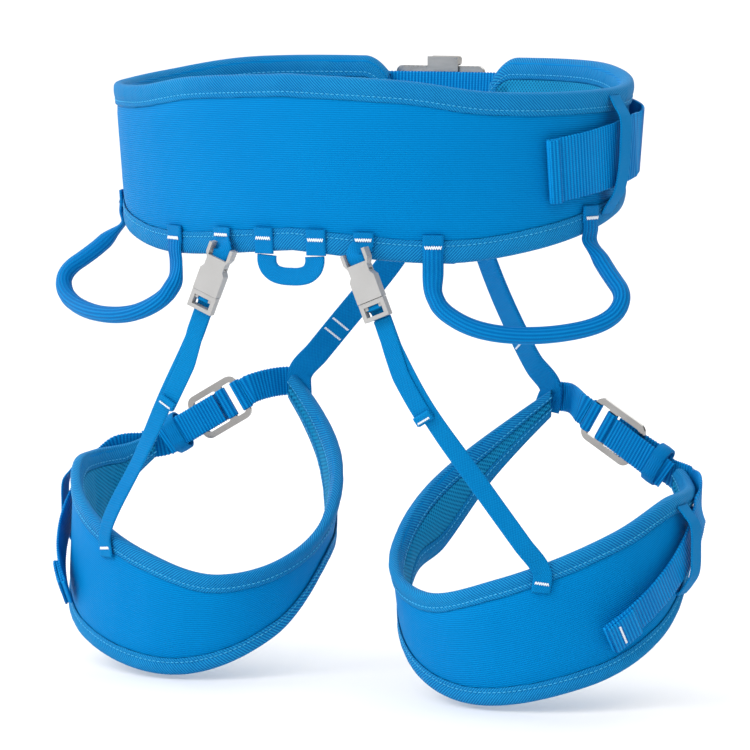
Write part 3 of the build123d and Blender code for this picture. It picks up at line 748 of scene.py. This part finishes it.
def build_binding(band, side, suffix, body, top):
    """A binding tape folded over one edge, drawn in where it is sewn."""
    angles, walked = band.angles(0.9)
    low, high = band.edges(angles)
    width = band.tape_width(angles)
    rows = smooth_rows(np.pad(binding_profile(band.pad, band.tape), ((0, 0), (0, 1))), 1.1)
    shape_out, depth = rows[:, 0], rows[:, 1] / band.tape
    inside_out = np.where(shape_out > -band.pad / 2, shape_out - 0.85, shape_out + 0.85)
    inside_depth = depth + 0.9 / band.tape * (1 - depth) ** 2
    outs = np.concatenate([shape_out, inside_out[::-1]])
    depths = np.concatenate([depth, inside_depth[::-1]])
    edge, step = (high, -1) if top else (low, 1)
    heights = edge[:, None] + step * width[:, None] * depths
    standoffs = np.broadcast_to(outs, heights.shape).copy()
    seam = np.exp(-(((1 - depths) * band.tape - 3.0) / 1.3) ** 2)
    pucker = 0.5 + 0.5 * np.cos(2 * np.pi * walked / STITCH_PITCH)
    outward = np.where(outs > -band.pad / 2, 1.0, -1.0)
    standoffs -= outward * np.outer(0.10 + 0.22 * pucker, seam)
    loose = ripple(walked, LOOSE_WAVES)[:, None] * np.clip(np.sin(np.pi * depths), 0, 1)
    standoffs += outward * np.clip(loose, -0.3, 0.3)
    fringe = np.clip(depths - 0.85, 0, None) * 6
    heights += step * (ripple(walked + 31, LOOSE_WAVES) * 0.8)[:, None] * fringe
    rings = band.point(angles[:, None], heights, standoffs)
    around = lengths_of(np.stack([outs, depths * band.tape, 0 * outs], -1))
    name = f"{band.name}_binding_{'top' if top else 'bottom'}"
    Shape().skin(rings, walked, around).make(f"{name}_tape{suffix}", BINDING, body, side, [name + suffix])


def sew_band(shape, band, top, inset):
    """The lines of stitches that hold one binding, outside and inside."""
    angles, _ = band.angles(1.5)
    low, high = band.edges(angles)
    width = band.tape_width(angles)
    edge, step = (high, -1) if top else (low, 1)
    heights = edge + step * (width - inset * width / band.tape)
    normal = band.normal(angles)
    stitch_line(shape, band.point(angles, heights, 0 * angles + 1.0), normal)
    stitch_line(shape, band.point(angles, heights, 0 * angles - band.pad - 1.35), -normal)


waist_tree = puffed(WAIST)
leg_tree = puffed(LEG, voxel=0.004)
build_pad(WAIST, 1, "", "belt", waist_tree)
waist_thread, leg_thread = Shape(), Shape()
for top in (True, False):
    build_binding(WAIST, 1, "", "belt", top)
    sew_band(waist_thread, WAIST, top, 3.0)
    sew_band(leg_thread, LEG, top, 2.6)
for side, word in SIDES:
    build_pad(LEG, side, f"_{word}", f"leg_{word}", leg_tree)
    for top in (True, False):
        build_binding(LEG, side, f"_{word}", f"leg_{word}", top)


def end_cap(band, angle, outward):
    """The tape folded over a pad's end."""
    low, high = band.edges(np.array([angle]))
    low, high = float(low[0]) + 0.6, float(high[0]) - 0.6
    back = -band.pad
    outs = np.array([1.2, 1.5, 1.2, 0.2, -1.6, -3.6, back, back - 1.0, back - 1.2, back - 1.0])
    reach = np.array([-6.0, -3.4, -0.9, 0.5, 1.1, 1.1, 0.5, -0.9, -3.4, -6.0])
    heights = np.linspace(low, high, 18)
    corner = np.clip(np.minimum(heights - low, high - heights) / 5.0, 0, 1)
    round_in = 1 - (1 - corner) ** 2
    rings = []
    degrees_per_mm = 1 / np.linalg.norm(band.point(angle + 0.5, 0, 0) - band.point(angle - 0.5, 0, 0))
    for height, share in zip(heights, round_in):
        turns = angle + outward * (reach * degrees_per_mm - (1 - share) * 1.2)
        rings.append(band.point(turns, height, outs * (0.75 + 0.25 * share)))
    around = lengths_of(np.stack([outs, reach, 0 * outs], -1))
    return np.array(rings), heights, around


caps = Shape()
for outward in (1, -1):
    caps.skin(*end_cap(WAIST, outward * (WAIST_END + 0.4), outward))
caps.make("waist_end_tape", BINDING, "belt", 1, ["waist_end_bindings"])

# ---- waist webbing, strap, keeper --------------------------------------------------------------


def on_waist(angles, height, standoff):
    """Rows round the waist whose height and standoff change evenly between two values."""
    heights, lifts = np.linspace(*height, len(angles)), np.linspace(*standoff, len(angles))
    return rows_of(waist_point(angles, heights, lifts), waist_facing(angles))


front_rows = on_waist(np.linspace(126, 234, 28), (21, 21), (2.4, 2.4))
strap(front_rows, 43, 2.0, step=0.55, rib=(2.2, 0.16)).make(
    "waist_front_webbing", RIBBED, "belt", 1, ["waist_webbing"])

RUN_START = [(0, 125.2, 21), (14, 124.8, 21), (28, 123.4, 20.6)]
TAIL_MARKS = [waist_point(93, 6, 8.2), waist_point(76, -1, 5.6), waist_point(59, -7, 4.4)]
tail_points, tail_out = circle_through(*TAIL_MARKS, 22)
tail_run = unit(tail_points[-1] - tail_points[-2])
waist_strap_rows = np.concatenate([
    rows_of(RUN_START, FORWARD), on_waist(np.linspace(160, 96, 10), (19.5, 6), (6.5, 8.0)),
    rows_of(tail_points, tail_out), fold_rows(tail_points[-1], tail_run, tail_out[-1], 1.75, 5.6)])
waist_strap = strap(waist_strap_rows, 38, 1.65, step=0.5, rib=(2.0, 0.15)).make(
    "waist_adjusting_strap", RIBBED, None, 1, ["waist_strap_run", "waist_strap_tail"])
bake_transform(waist_strap)

KEEPER_PATH = [(1.9, 35.5), (5.5, 30), (10.2, 23), (11.6, 8), (11.4, -9), (9.2, -21), (5, -28), (1.9, -33.5)]
KEEPER_SLOPES = [0.8, 0.7, 0.35, 0, -0.05, -0.35, -0.6, -0.7]


def keeper(band, angle, path, slopes):
    """An elastic loop over a strap, whose path is (standoff, height) points on a pad."""
    rows = rows_of([band.point(angle, height, out) for out, height in path],
                   [band.normal(angle) + UP * slope for slope in slopes])
    return strap(rows, 12, 1.2, step=0.8)


waist_keeper = keeper(WAIST, KEEPER_ANGLE, KEEPER_PATH, KEEPER_SLOPES)
waist_keeper.make("waist_keeper", ELASTIC, "belt", 1, ["waist_keeper_loop"])

# ---- tie-in group -------------------------------------------------------------------------------

TIE_IN_STYLE = {"rib": (1.6, 0.1), "step": 0.5}
tie_in = Shape()
for side in (1, -1):
    tab = rows_of([(21 * side, 109.9, height) for height in (17, 0, -20, -34)], FORWARD)
    tie_in.skin(*strap_rings(tab, 14, 2.2, **TIE_IN_STYLE))
across_rows = rows_of([(-28, 110.0, -27), (-10, 110.6, -27), (10, 110.6, -27), (28, 110.0, -27)], FORWARD)
tie_in.skin(*strap_rings(across_rows, 14, 2.2, **TIE_IN_STYLE))
tie_in.make("upper_tie_in_strap", RIBBED, "belt", 1, ["upper_tie_in_loop"])
bridge_rows = rows_of([(x, 117, -51) for x in (-13, -5, 5, 13)], FORWARD)
strap(bridge_rows, 15, 2.2, **TIE_IN_STYLE).make("leg_bridge_strap", RIBBED, "belt", 1, ["leg_bridge"])


def ring_strap(places, outs, side_way, width, thickness, step, arc, rib):
    """A ribbed strap sewn into a closed ring through places."""
    rows = even_rows(np.concatenate([places, outs], 1), step)
    outline = tape_outline(width, thickness, 9, arc)
    pitch, depth = rib
    wave = 1 + depth * np.cos(2 * np.pi * np.arange(len(rows)) * step / pitch)
    rings = rows[:, None, :3] + outline[None, :, :1] * side_way
    rings = rings + rows[:, None, 3:6] * (outline[:, 1] * wave[:, None])[..., None]
    rings = np.concatenate([rings, rings[:1]])
    return Shape().skin(rings, np.arange(len(rings)) * step, outline[:, 0], capped=False)


BELAY_LONG = 67
BELAY_DEEP = 32
BELAY_THICK = 4.0
BELAY_CENTRE = np.array([0, 115, -46.5])
BELAY_HALF_STRAIGHT = (BELAY_LONG - BELAY_DEEP) / 2
BELAY_RADIUS = (BELAY_DEEP - BELAY_THICK) / 2


def belay_loop():
    """The belay loop: two straight runs joined by half circles, in the YZ plane."""
    turns = full_turn(120)
    outs = np.stack([0 * turns, np.cos(turns), np.sin(turns)], -1)
    shift = np.outer(np.sign(np.sin(turns)) * BELAY_HALF_STRAIGHT, UP)
    places = BELAY_CENTRE + shift + outs * BELAY_RADIUS
    return ring_strap(places, outs, np.array([1.0, 0, 0]), 15, BELAY_THICK, 0.55, 4, (1.6, 0.06))


belay_loop().make("belay_loop_webbing", RIBBED, "belay", 1, ["belay_loop"])

# ---- tabs, gear loops, haul loop ---------------------------------------------------------------


def tab_rows(angle, top, low):
    return rows_of(waist_point(angle, np.linspace(top, low, 5), 2.1), waist_normal(angle))


gear_tabs, haul_tabs, riser_tabs = Shape(), Shape(), Shape()
RISER_TAB_ROUTE = [waist_point(RISER_ANGLE, -42, 2.6), waist_point(RISER_ANGLE - 0.1, -49, 3.3),
                   clip_point(0, -6, -0.1), clip_point(0, -1.4, 0.1), clip_point(0, 1.2, 0.0)]
riser_tab_rows = rows_of(RISER_TAB_ROUTE, [waist_normal(RISER_ANGLE)] * 2 + [CLIP_FACE] * 3,
                         [1, 1, 0.96, 0.82, 0.78])
TABS = [(gear_tabs, tab_rows(GEAR_BACK_ANGLE, -43, -53.5), 12.5, 2.0),
        (gear_tabs, tab_rows(GEAR_FRONT_ANGLE, -28, -38), 12.5, 2.0),
        (haul_tabs, tab_rows(HAUL_ANGLE, -41, -56.1), 12.5, 2.0),
        (riser_tabs, riser_tab_rows, 12.2, 1.9)]
for side, _ in SIDES:
    for group, rows, width, thickness in TABS:
        rings, along, around = strap_rings(rows, width, thickness, step=0.8)
        group.skin(rings * mirrored(side), along, around)
gear_tabs.make("gear_tabs_webbing", WOVEN, "belt", 1, ["gear_loop_tabs"])
haul_tabs.make("haul_tabs_webbing", WOVEN, "belt", 1, ["haul_loop_tabs"])
riser_tabs.make("riser_tabs_webbing", WOVEN, "belt", 1, ["riser_tabs"])

HAUL_HALF = [(15.5, -56.9, 1), (15.6, -60, 1), (14.4, -63.8, 0.96), (11, -67.2, 0.88), (6, -68.8, 0.84)]
HAUL_PATH = [(-x, z, share) for x, z, share in HAUL_HALF] + [(0, -69.1, 0.84)] + HAUL_HALF[::-1]
haul_rows = rows_of([(x, -108.2, z) for x, z, _ in HAUL_PATH], -FORWARD, [share for _, _, share in HAUL_PATH])
strap(haul_rows, 12.5, 2.0, step=0.8).make("haul_loop_webbing", WOVEN, "haul", 1, ["haul_loop"])

GEAR_ROUTE = np.array([(84.3, -93.4, -75.5), (90, -95.5, -87), (114, -93, -98.5), (148, -80, -100.5),
                       (179, -60, -94), (187, -50, -79), (171, -38, -66), (161.3, -31.6, -55.5)], float)


def corner_curve(points):
    """A curve that touches the middle of every run and rounds the corners between."""
    middles = (points[1:] + points[:-1]) / 2
    curve = [points[0]]
    for before, corner, after in zip(middles, points[1:-1], middles[1:]):
        for part in np.linspace(0, 1, 9)[:-1]:
            curve.append(before * (1 - part) ** 2 + corner * 2 * part * (1 - part) + after * part**2)
    curve += [middles[-1], points[-1]]
    return np.array(curve)


def gear_loop():
    """A round woven tube whose ends are pressed flat under their tabs."""
    back = waist_point(GEAR_BACK_ANGLE, np.array([-50.0, -57.0, -64.4]), np.array([2.0, 2.9, 2.4]))
    front = waist_point(GEAR_FRONT_ANGLE, np.array([-48.4, -41.5, -35.0]), np.array([2.4, 2.9, 2.0]))
    line = smooth_rows(np.concatenate([back, corner_curve(GEAR_ROUTE)[::2], front]), 1.0)
    walked = lengths_of(line)
    run = unit(np.gradient(line, walked, axis=0))
    share = (walked / walked[-1])[:, None]
    facing = waist_normal(GEAR_BACK_ANGLE) * (1 - share) + waist_normal(GEAR_FRONT_ANGLE) * share
    facing = square_to(run, facing)
    across = np.cross(run, facing)
    end = np.minimum(walked, walked[-1] - walked)
    round_share = np.clip((end - 15) / 16, 0, 1)
    round_share = round_share * round_share * (3 - 2 * round_share)
    turns = full_turn(84)
    rib = 0.16 * np.cos(14 * turns)
    wide = (6.0 * (1 - round_share) + 4.95 * round_share)[:, None] + rib * 0.9
    thick = (1.7 * (1 - round_share) + 4.95 * round_share)[:, None] + rib * 0.7
    rings = line[:, None] + across[:, None] * (wide * np.cos(turns))[..., None]
    rings = rings + facing[:, None] * (thick * np.sin(turns))[..., None]
    return Shape().skin(rings, walked, np.linspace(0, 31.5, len(turns) + 1))


for side, word in SIDES:
    tube = gear_loop().make(f"gear_loop_tube_{word}", TUBE, None, side,
                            [f"gear_loop_{word}", f"gear_loop_sleeves_{word}"])
    flip = mirrored(side) * MM
    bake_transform(tube)

# ---- risers ------------------------------------------------------------------------------------

LOOP_DOWNS = [(26.2, 0.9), (26.6, -0.8), (28.2, -3.9), (34, -5.1), (44, -5.1), (53, -5.1)]
loop_rows = rows_of([clip_point(0, down, out) for down, out in LOOP_DOWNS], CLIP_FACE)
RISER_MARKS = [clip_point(0, 34, -5.1), clip_point(0, 52.8, -5.1), np.array([85, -103, -144]),
               np.array([113, -90, -188]), np.array([136, -81.5, -222]), leg_point(271, -238, 3.4),
               leg_point(270, -251, 2.6)]
DOUBLED_LENGTH = 65.0
DOUBLED_ASIDE = 3.2
RISER_FACINGS = [CLIP_FACE] * 3 + [leg_normal(angle) for angle in (278, 274, 271, 270)]


def riser():
    """The elastic riser, with its doubled layer and folded hem above the middle."""
    rows = smooth_rows(rows_of(RISER_MARKS, RISER_FACINGS), 0.8)
    walked = lengths_of(rows[:, :3])
    run = unit(np.gradient(rows[:, :3], walked, axis=0))
    facing = square_to(run, rows[:, 3:6])
    across = np.cross(run, facing)
    shape = Shape().skin(*strap_rings(rows, 11.2, 1.5, step=0.9))
    stop = np.searchsorted(walked, DOUBLED_LENGTH)
    outer = rows[:stop].copy()
    aside = np.clip((walked[:stop] - 14) / 20, 0, 1) * DOUBLED_ASIDE
    outer[:, :3] += facing[:stop] * 1.45 + across[:stop] * aside[:, None]
    fold = fold_rows(outer[-1, :3], run[stop], facing[stop], 1.3, 4.6)
    shape.skin(*strap_rings(np.concatenate([outer[:-1:4], outer[-1:], fold]), 11.2, 1.2, step=0.45))
    return shape, rows[:, :3], facing, across, walked


riser_shape, riser_places, riser_facing, riser_across, riser_walked = riser()


def blend_on_riser(piece):
    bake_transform(piece)


for side, word in SIDES:
    strap(loop_rows, 11.0, 2.9, step=0.8).make(
        f"riser_end_loop_webbing_{word}", ELASTIC, f"clip_{word}", side, [f"riser_end_loop_{word}"])
    piece = riser_shape.make(f"riser_webbing_{word}", ELASTIC, None, side, [f"riser_strap_{word}"])
    blend_on_riser(piece)

# ---- leg straps and buckles --------------------------------------------------------------------

FRONT_ROUTE = [(17.5, 115.6, -49), (21, 114, -55), (33, 106, -77), (46, 97, -97), (61, 88, -118),
               (75, 81.5, -137), leg_point(86.5, -151, 3.0), leg_point(88, -166, 2.9)]
FRONT_FACINGS = [(0.49, 0.87, -0.05)] * 6 + [(0.25, 0.97, 0), leg_normal(88)]
front_strap_rows = rows_of(FRONT_ROUTE, FRONT_FACINGS)


LEG_BARS = (-17.3, -5.5)


def bar_turn(along, thickness, width=20):
    """A strap rolled round the leg buckle's bar that lies along from the middle."""
    turns = full_turn(40)
    middle = 0.4 + thickness / 2
    reach, lift = 1.8 + middle, 1.1 + middle
    x, y = (np.sign(wave) * np.abs(wave) ** 0.75 for wave in (np.cos(turns), np.sin(turns)))
    places = np.array([frame_point(along + a * reach, b * lift) for a, b in zip(x, y)])
    outs = unit(np.outer(x, LEG_FRAME_RUN) + np.outer(y, LEG_FRAME_FACE))
    return ring_strap(places, outs, LEG_FRAME_SIDE, width, thickness, 0.45, 3, (1.8, 0.14))


SEWN_ROUTE = [frame_point(-21.0, 0), frame_point(-26, 0.3), (106, 73.5, -158), (98, 82, -157),
              (86, 84.2, -157)]
SEWN_FACINGS = [LEG_FRAME_FACE] * 2 + [leg_normal(angle) for angle in (50, 60, 86)]
STRAP_ROUTE = [leg_point(17, -201, 3.4), leg_point(19, -200.5, 3.7), (174, 64, -197.5), frame_point(30, 4.9),
               frame_point(23, 4.4), frame_point(10, 3.4), frame_point(-1, 2.3)]
STRAP_FACINGS = [leg_normal(angle) for angle in (17, 19, 24)] + [LEG_FRAME_FACE] * 4
RETURN_ROUTE = [(173, 56.6, -198), frame_point(30, -4.1), frame_point(24, -3.8), frame_point(10, -3.1),
                frame_point(-1, -2.5)]
LEG_TAIL_MARKS = [leg_point(352, -212, 5.2), leg_point(322, -246, 6.3), leg_point(292, -278, 7.6)]
LEG_KEEPER_PATH = [(1.8, -206), (5.4, -210), (10.6, -217), (11.4, -231), (10.6, -246), (6, -254), (1.8, -259)]
LEG_KEEPER_SLOPES = [0.7, 0.6, 0.2, 0, -0.3, -0.5, -0.6]


def end_sleeve():
    """The pad's narrow end folded round both layers of the strap."""
    turns = full_turn(60)
    width, radius = 26, 7.25
    wide = np.sign(np.sin(turns)) * (width / 2 - radius) + radius * np.sin(turns)
    lift = radius * np.cos(turns)
    rings = []
    profile = [(0.0, -1.3), (0.0, -0.35), (0.4, 0.0), (4.5, 0.25), (8.6, 0.0), (9.0, -0.35), (9.0, -1.3),
               (4.5, -1.3), (0.0, -1.3)]
    for along, grow in profile:
        across = np.outer(wide * (1 + grow / (width / 2)), LEG_FRAME_SIDE)
        outward = np.outer(lift * (1 + grow / radius), LEG_FRAME_FACE)
        rings.append(frame_point(30.5 + along, 0.4) + across + outward)
    walked = np.cumsum([0, 1, 0.6, 4.1, 4.1, 0.6, 1, 4.5, 4.5])
    return Shape().skin(rings, walked, np.linspace(0, 62, len(turns) + 1), capped=False)


leg_tail_points, leg_tail_out = circle_through(*LEG_TAIL_MARKS, 24)
leg_tail_end, leg_tail_face = leg_tail_points[-1], leg_tail_out[-1]
leg_tail_run = unit(leg_tail_end - leg_tail_points[-2])
LEG_LEAD = [(19, -203, 4.5), (5, -203, 4.6), (356, -209, 4.8)]
leg_tail_rows = np.concatenate([
    rows_of([leg_point(*mark) for mark in LEG_LEAD], [leg_normal(angle) for angle, _, _ in LEG_LEAD]),
    rows_of(leg_tail_points, leg_tail_out),
    fold_rows(leg_tail_end, leg_tail_run, leg_tail_face, 1.75, 19, 1 / 132)])
leg_keeper = keeper(LEG, LEG_KEEPER_ANGLE, LEG_KEEPER_PATH, LEG_KEEPER_SLOPES)
WEBBING_RIB = {"rib": (2.0, 0.15), "step": 0.5}

for side, word in SIDES:
    body = f"leg_{word}"
    front = Shape()
    for lift in (-0.85, 0.85):
        moved = front_strap_rows.copy()
        moved[:, :3] += moved[:, 3:6] * lift
        front.skin(*strap_rings(moved, 16, 1.6, step=0.8))
    front.make(f"leg_front_webbing_{word}", WOVEN, body, side, [f"leg_front_strap_{word}"])
    sewn = bar_turn(LEG_BARS[0], 1.3)
    sewn.skin(*strap_rings(rows_of(SEWN_ROUTE, SEWN_FACINGS), 18.5, 2.6, step=0.55, rib=(2.0, 0.1)))
    sewn.make(f"leg_buckle_webbing_{word}", RIBBED, body, side, [f"leg_buckle_strap_{word}"])
    strap(rows_of(STRAP_ROUTE, STRAP_FACINGS), 19, 1.6, **WEBBING_RIB).make(
        f"leg_strap_webbing_{word}", RIBBED, body, side, [f"leg_strap_{word}"])
    back = bar_turn(LEG_BARS[1], 1.4)
    back.skin(*strap_rings(rows_of(RETURN_ROUTE, LEG_FRAME_FACE), 19, 1.6, **WEBBING_RIB))
    back.make(f"leg_strap_return_webbing_{word}", RIBBED, body, side, [f"leg_strap_return_{word}"])
    end_sleeve().make(f"leg_end_sleeve_webbing_{word}", WOVEN, body, side, [f"leg_end_sleeve_{word}"])
    leg_keeper.make(f"leg_keeper_{word}", ELASTIC, body, side, [f"leg_keeper_loop_{word}"])
    tail = strap(leg_tail_rows, 20, 1.65, **WEBBING_RIB).make(
        f"leg_adjusting_strap_{word}", RIBBED, None, side,
        [f"leg_strap_lead_{word}", f"leg_strap_tail_{word}"])
    flip = mirrored(side) * MM
    leg_point(8, -203, 4.6) * flip
    leg_point(353, -211, 5) * flip
    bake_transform(tail)

# ---- thread: seams and bar tacks ---------------------------------------------------------------

waist_thread.make("waist_seam_thread", THREAD, "belt")
for side, word in SIDES:
    leg_thread.make(f"leg_seam_thread_{word}", THREAD, f"leg_{word}", side)

BELT_TACKS = [(GEAR_BACK_ANGLE, -50.3, 3.8), (GEAR_FRONT_ANGLE, -35.2, 3.8), (HAUL_ANGLE, -47, 3.3),
              (RISER_ANGLE, -46.3, 4.1)]
belt_tacks = Shape()
for side, _ in SIDES:
    flip = mirrored(side)
    for angle, height, standoff in BELT_TACKS:
        level = np.diff(waist_point([angle - 1, angle + 1], height, standoff), axis=0)[0]
        bar_tack(belt_tacks, waist_point(angle, height, standoff) * flip, level * flip,
                 waist_normal(angle) * flip, 9.0, 2.3)
belt_tacks.make("belt_bar_tacks", TACK, "belt")

front_tacks = Shape()
for angle in (131.5, -131.5):
    bar_tack(front_tacks, waist_point(angle, 21, 3.9), UP, waist_normal(angle), 34, 2.0)
front_tacks.make("waist_front_tacks", TACK, "belt")

riser_tack, riser_foot, leg_fold_tack, leg_tacks = Shape(), Shape(), Shape(), Shape()
hem, foot = int(np.searchsorted(riser_walked, 62.5)), len(riser_walked) - 8
RISER_TACKS = [(riser_tack, hem, 5.2, DOUBLED_ASIDE, 1.4), (riser_foot, foot, 1.0, 0, 2.0)]
for shape, at, lift, aside, width in RISER_TACKS:
    place = riser_places[at] + riser_facing[at] * lift + riser_across[at] * aside
    bar_tack(shape, place, riser_across[at], riser_facing[at], 7.5, width)
bar_tack(leg_fold_tack, leg_tail_end - leg_tail_run * 8.0 + leg_tail_face * 4.4,
         np.cross(leg_tail_run, leg_tail_face), leg_tail_face, 13, 1.6)
front_smooth = smooth_rows(front_strap_rows, 1.0)
for spot in (0.60, 0.66):
    index = int(len(front_smooth) * spot)
    place, ahead = front_smooth[index, :3], front_smooth[index + 1, :3] - front_smooth[index - 1, :3]
    face = unit(front_smooth[index, 3:6])
    for lift in (-1, 1):
        bar_tack(leg_tacks, place + face * 1.75 * lift, np.cross(unit(ahead), face), face * lift, 12, 1.6)
bar_tack(leg_tacks, leg_point(21, -199.5, 4.8), LEG_FRAME_SIDE, leg_normal(21), 14, 2.2)
for side, word in SIDES:
    blend_on_riser(riser_tack.make(f"riser_hem_tack_{word}", TACK, None, side))
    riser_foot.make(f"riser_foot_tack_{word}", TACK, f"leg_{word}", side)
    leg_fold_tack.make(f"leg_tail_tack_{word}", TACK, f"leg_tail_{word}", side)
    leg_tacks.make(f"leg_bar_tacks_{word}", TACK, f"leg_{word}", side)

# ---- hardware: CAD shapes with their finishes --------------------------------------------------


def dress(node, material, bevel):
    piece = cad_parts[node]
    piece.data.materials.clear()
    piece.data.materials.append(material)
    rounding = piece.modifiers.new("rounding", "BEVEL")
    rounding.width = bevel * MM
    rounding.segments = 3
    rounding.limit_method = "ANGLE"
    rounding.angle_limit = math.radians(35)
    rounding.harden_normals = True


dress("waist_buckle_frame", ALLOY, 0.45)
dress("waist_buckle_slider", ALLOY, 0.6)
for _, word in SIDES:
    dress(f"riser_buckle_socket_{word}", PLASTIC, 0.7)
    dress(f"riser_buckle_plug_{word}", PLASTIC, 0.6)
    dress(f"leg_buckle_frame_{word}", STEEL, 0.8)

# ---- stage, light and camera -------------------------------------------------------------------

FLOOR_HEIGHT = -0.3235
FLOOR_REACH = 30.0


def pale_floor():
    mesh = bpy.data.meshes.new("floor")
    corners = np.array([(-1, -1, 0), (1, -1, 0), (1, 1, 0), (-1, 1, 0)]) * FLOOR_REACH + UP * FLOOR_HEIGHT
    mesh.from_pydata(corners.tolist(), [], [(0, 1, 2, 3)])
    finish = Finish("floor_paper")
    cloud = finish.noise(finish.place(), 3.0)
    colour = finish.mix(cloud, (0.87, 0.875, 0.88), (0.90, 0.90, 0.90))
    mesh.materials.append(finish.surface(colour, 0.9, specular=0.1))
    linked("floor", mesh)


pale_floor()


def studio_world(side, strength, swing):
    """A white studio that is brighter towards side and darker away from it."""
    world = bpy.data.worlds.new("studio")
    scene.world = world
    world.use_nodes = True
    nodes, links = world.node_tree.nodes, world.node_tree.links
    direction = nodes.new("ShaderNodeTexCoord").outputs["Generated"]
    facing = nodes.new("ShaderNodeVectorMath")
    facing.operation = "DOT_PRODUCT"
    facing.inputs[1].default_value = side
    links.new(direction, facing.inputs[0])
    level = nodes.new("ShaderNodeMath")
    level.operation = "MULTIPLY_ADD"
    level.inputs[1].default_value = swing
    level.inputs[2].default_value = strength
    links.new(facing.outputs["Value"], level.inputs[0])
    links.new(level.outputs[0], nodes["Background"].inputs[1])
    nodes["Background"].inputs[0].default_value = (1.0, 1.0, 1.0, 1)


studio_world((-0.74, -0.5, 0.45), 1.0, 0.88)


def aimed(made, place, direction):
    """Puts a light or camera at place, looking along direction."""
    made.location = place
    made.rotation_mode = "QUATERNION"
    made.rotation_quaternion = direction.to_track_quat("-Z", "Y")


LIGHT_TARGET = (0, 0, -0.12)


def area_light(name, place, size, power):
    data = bpy.data.lights.new(name, "AREA")
    data.shape = "SQUARE"
    data.size = size
    data.energy = power
    aimed(linked(name, data), place, Vector(LIGHT_TARGET) - Vector(place))


area_light("key", (-1.1, -1.7, 1.3), 1.0, 14)
area_light("rim", (0.3, 1.9, 1.4), 1.2, 8)

CAMERA_TARGET = np.array([3.0, 1.5, -139.0]) * MM
CAMERA_DISTANCE = 2.2
azimuth, elevation = math.radians(25), math.radians(7)
away = math.cos(elevation)
camera_back = np.array([math.sin(azimuth) * away, -math.cos(azimuth) * away, math.sin(elevation)])
camera_data = bpy.data.cameras.new("camera")
camera_data.sensor_width = 36
camera_data.lens = 172.3
camera_data.clip_start = 0.05
camera_data.clip_end = 60
camera = linked("camera", camera_data)
aimed(camera, CAMERA_TARGET + camera_back * CAMERA_DISTANCE, Vector((-camera_back).tolist()))
scene.camera = camera
scene.view_settings.view_transform = "Standard"
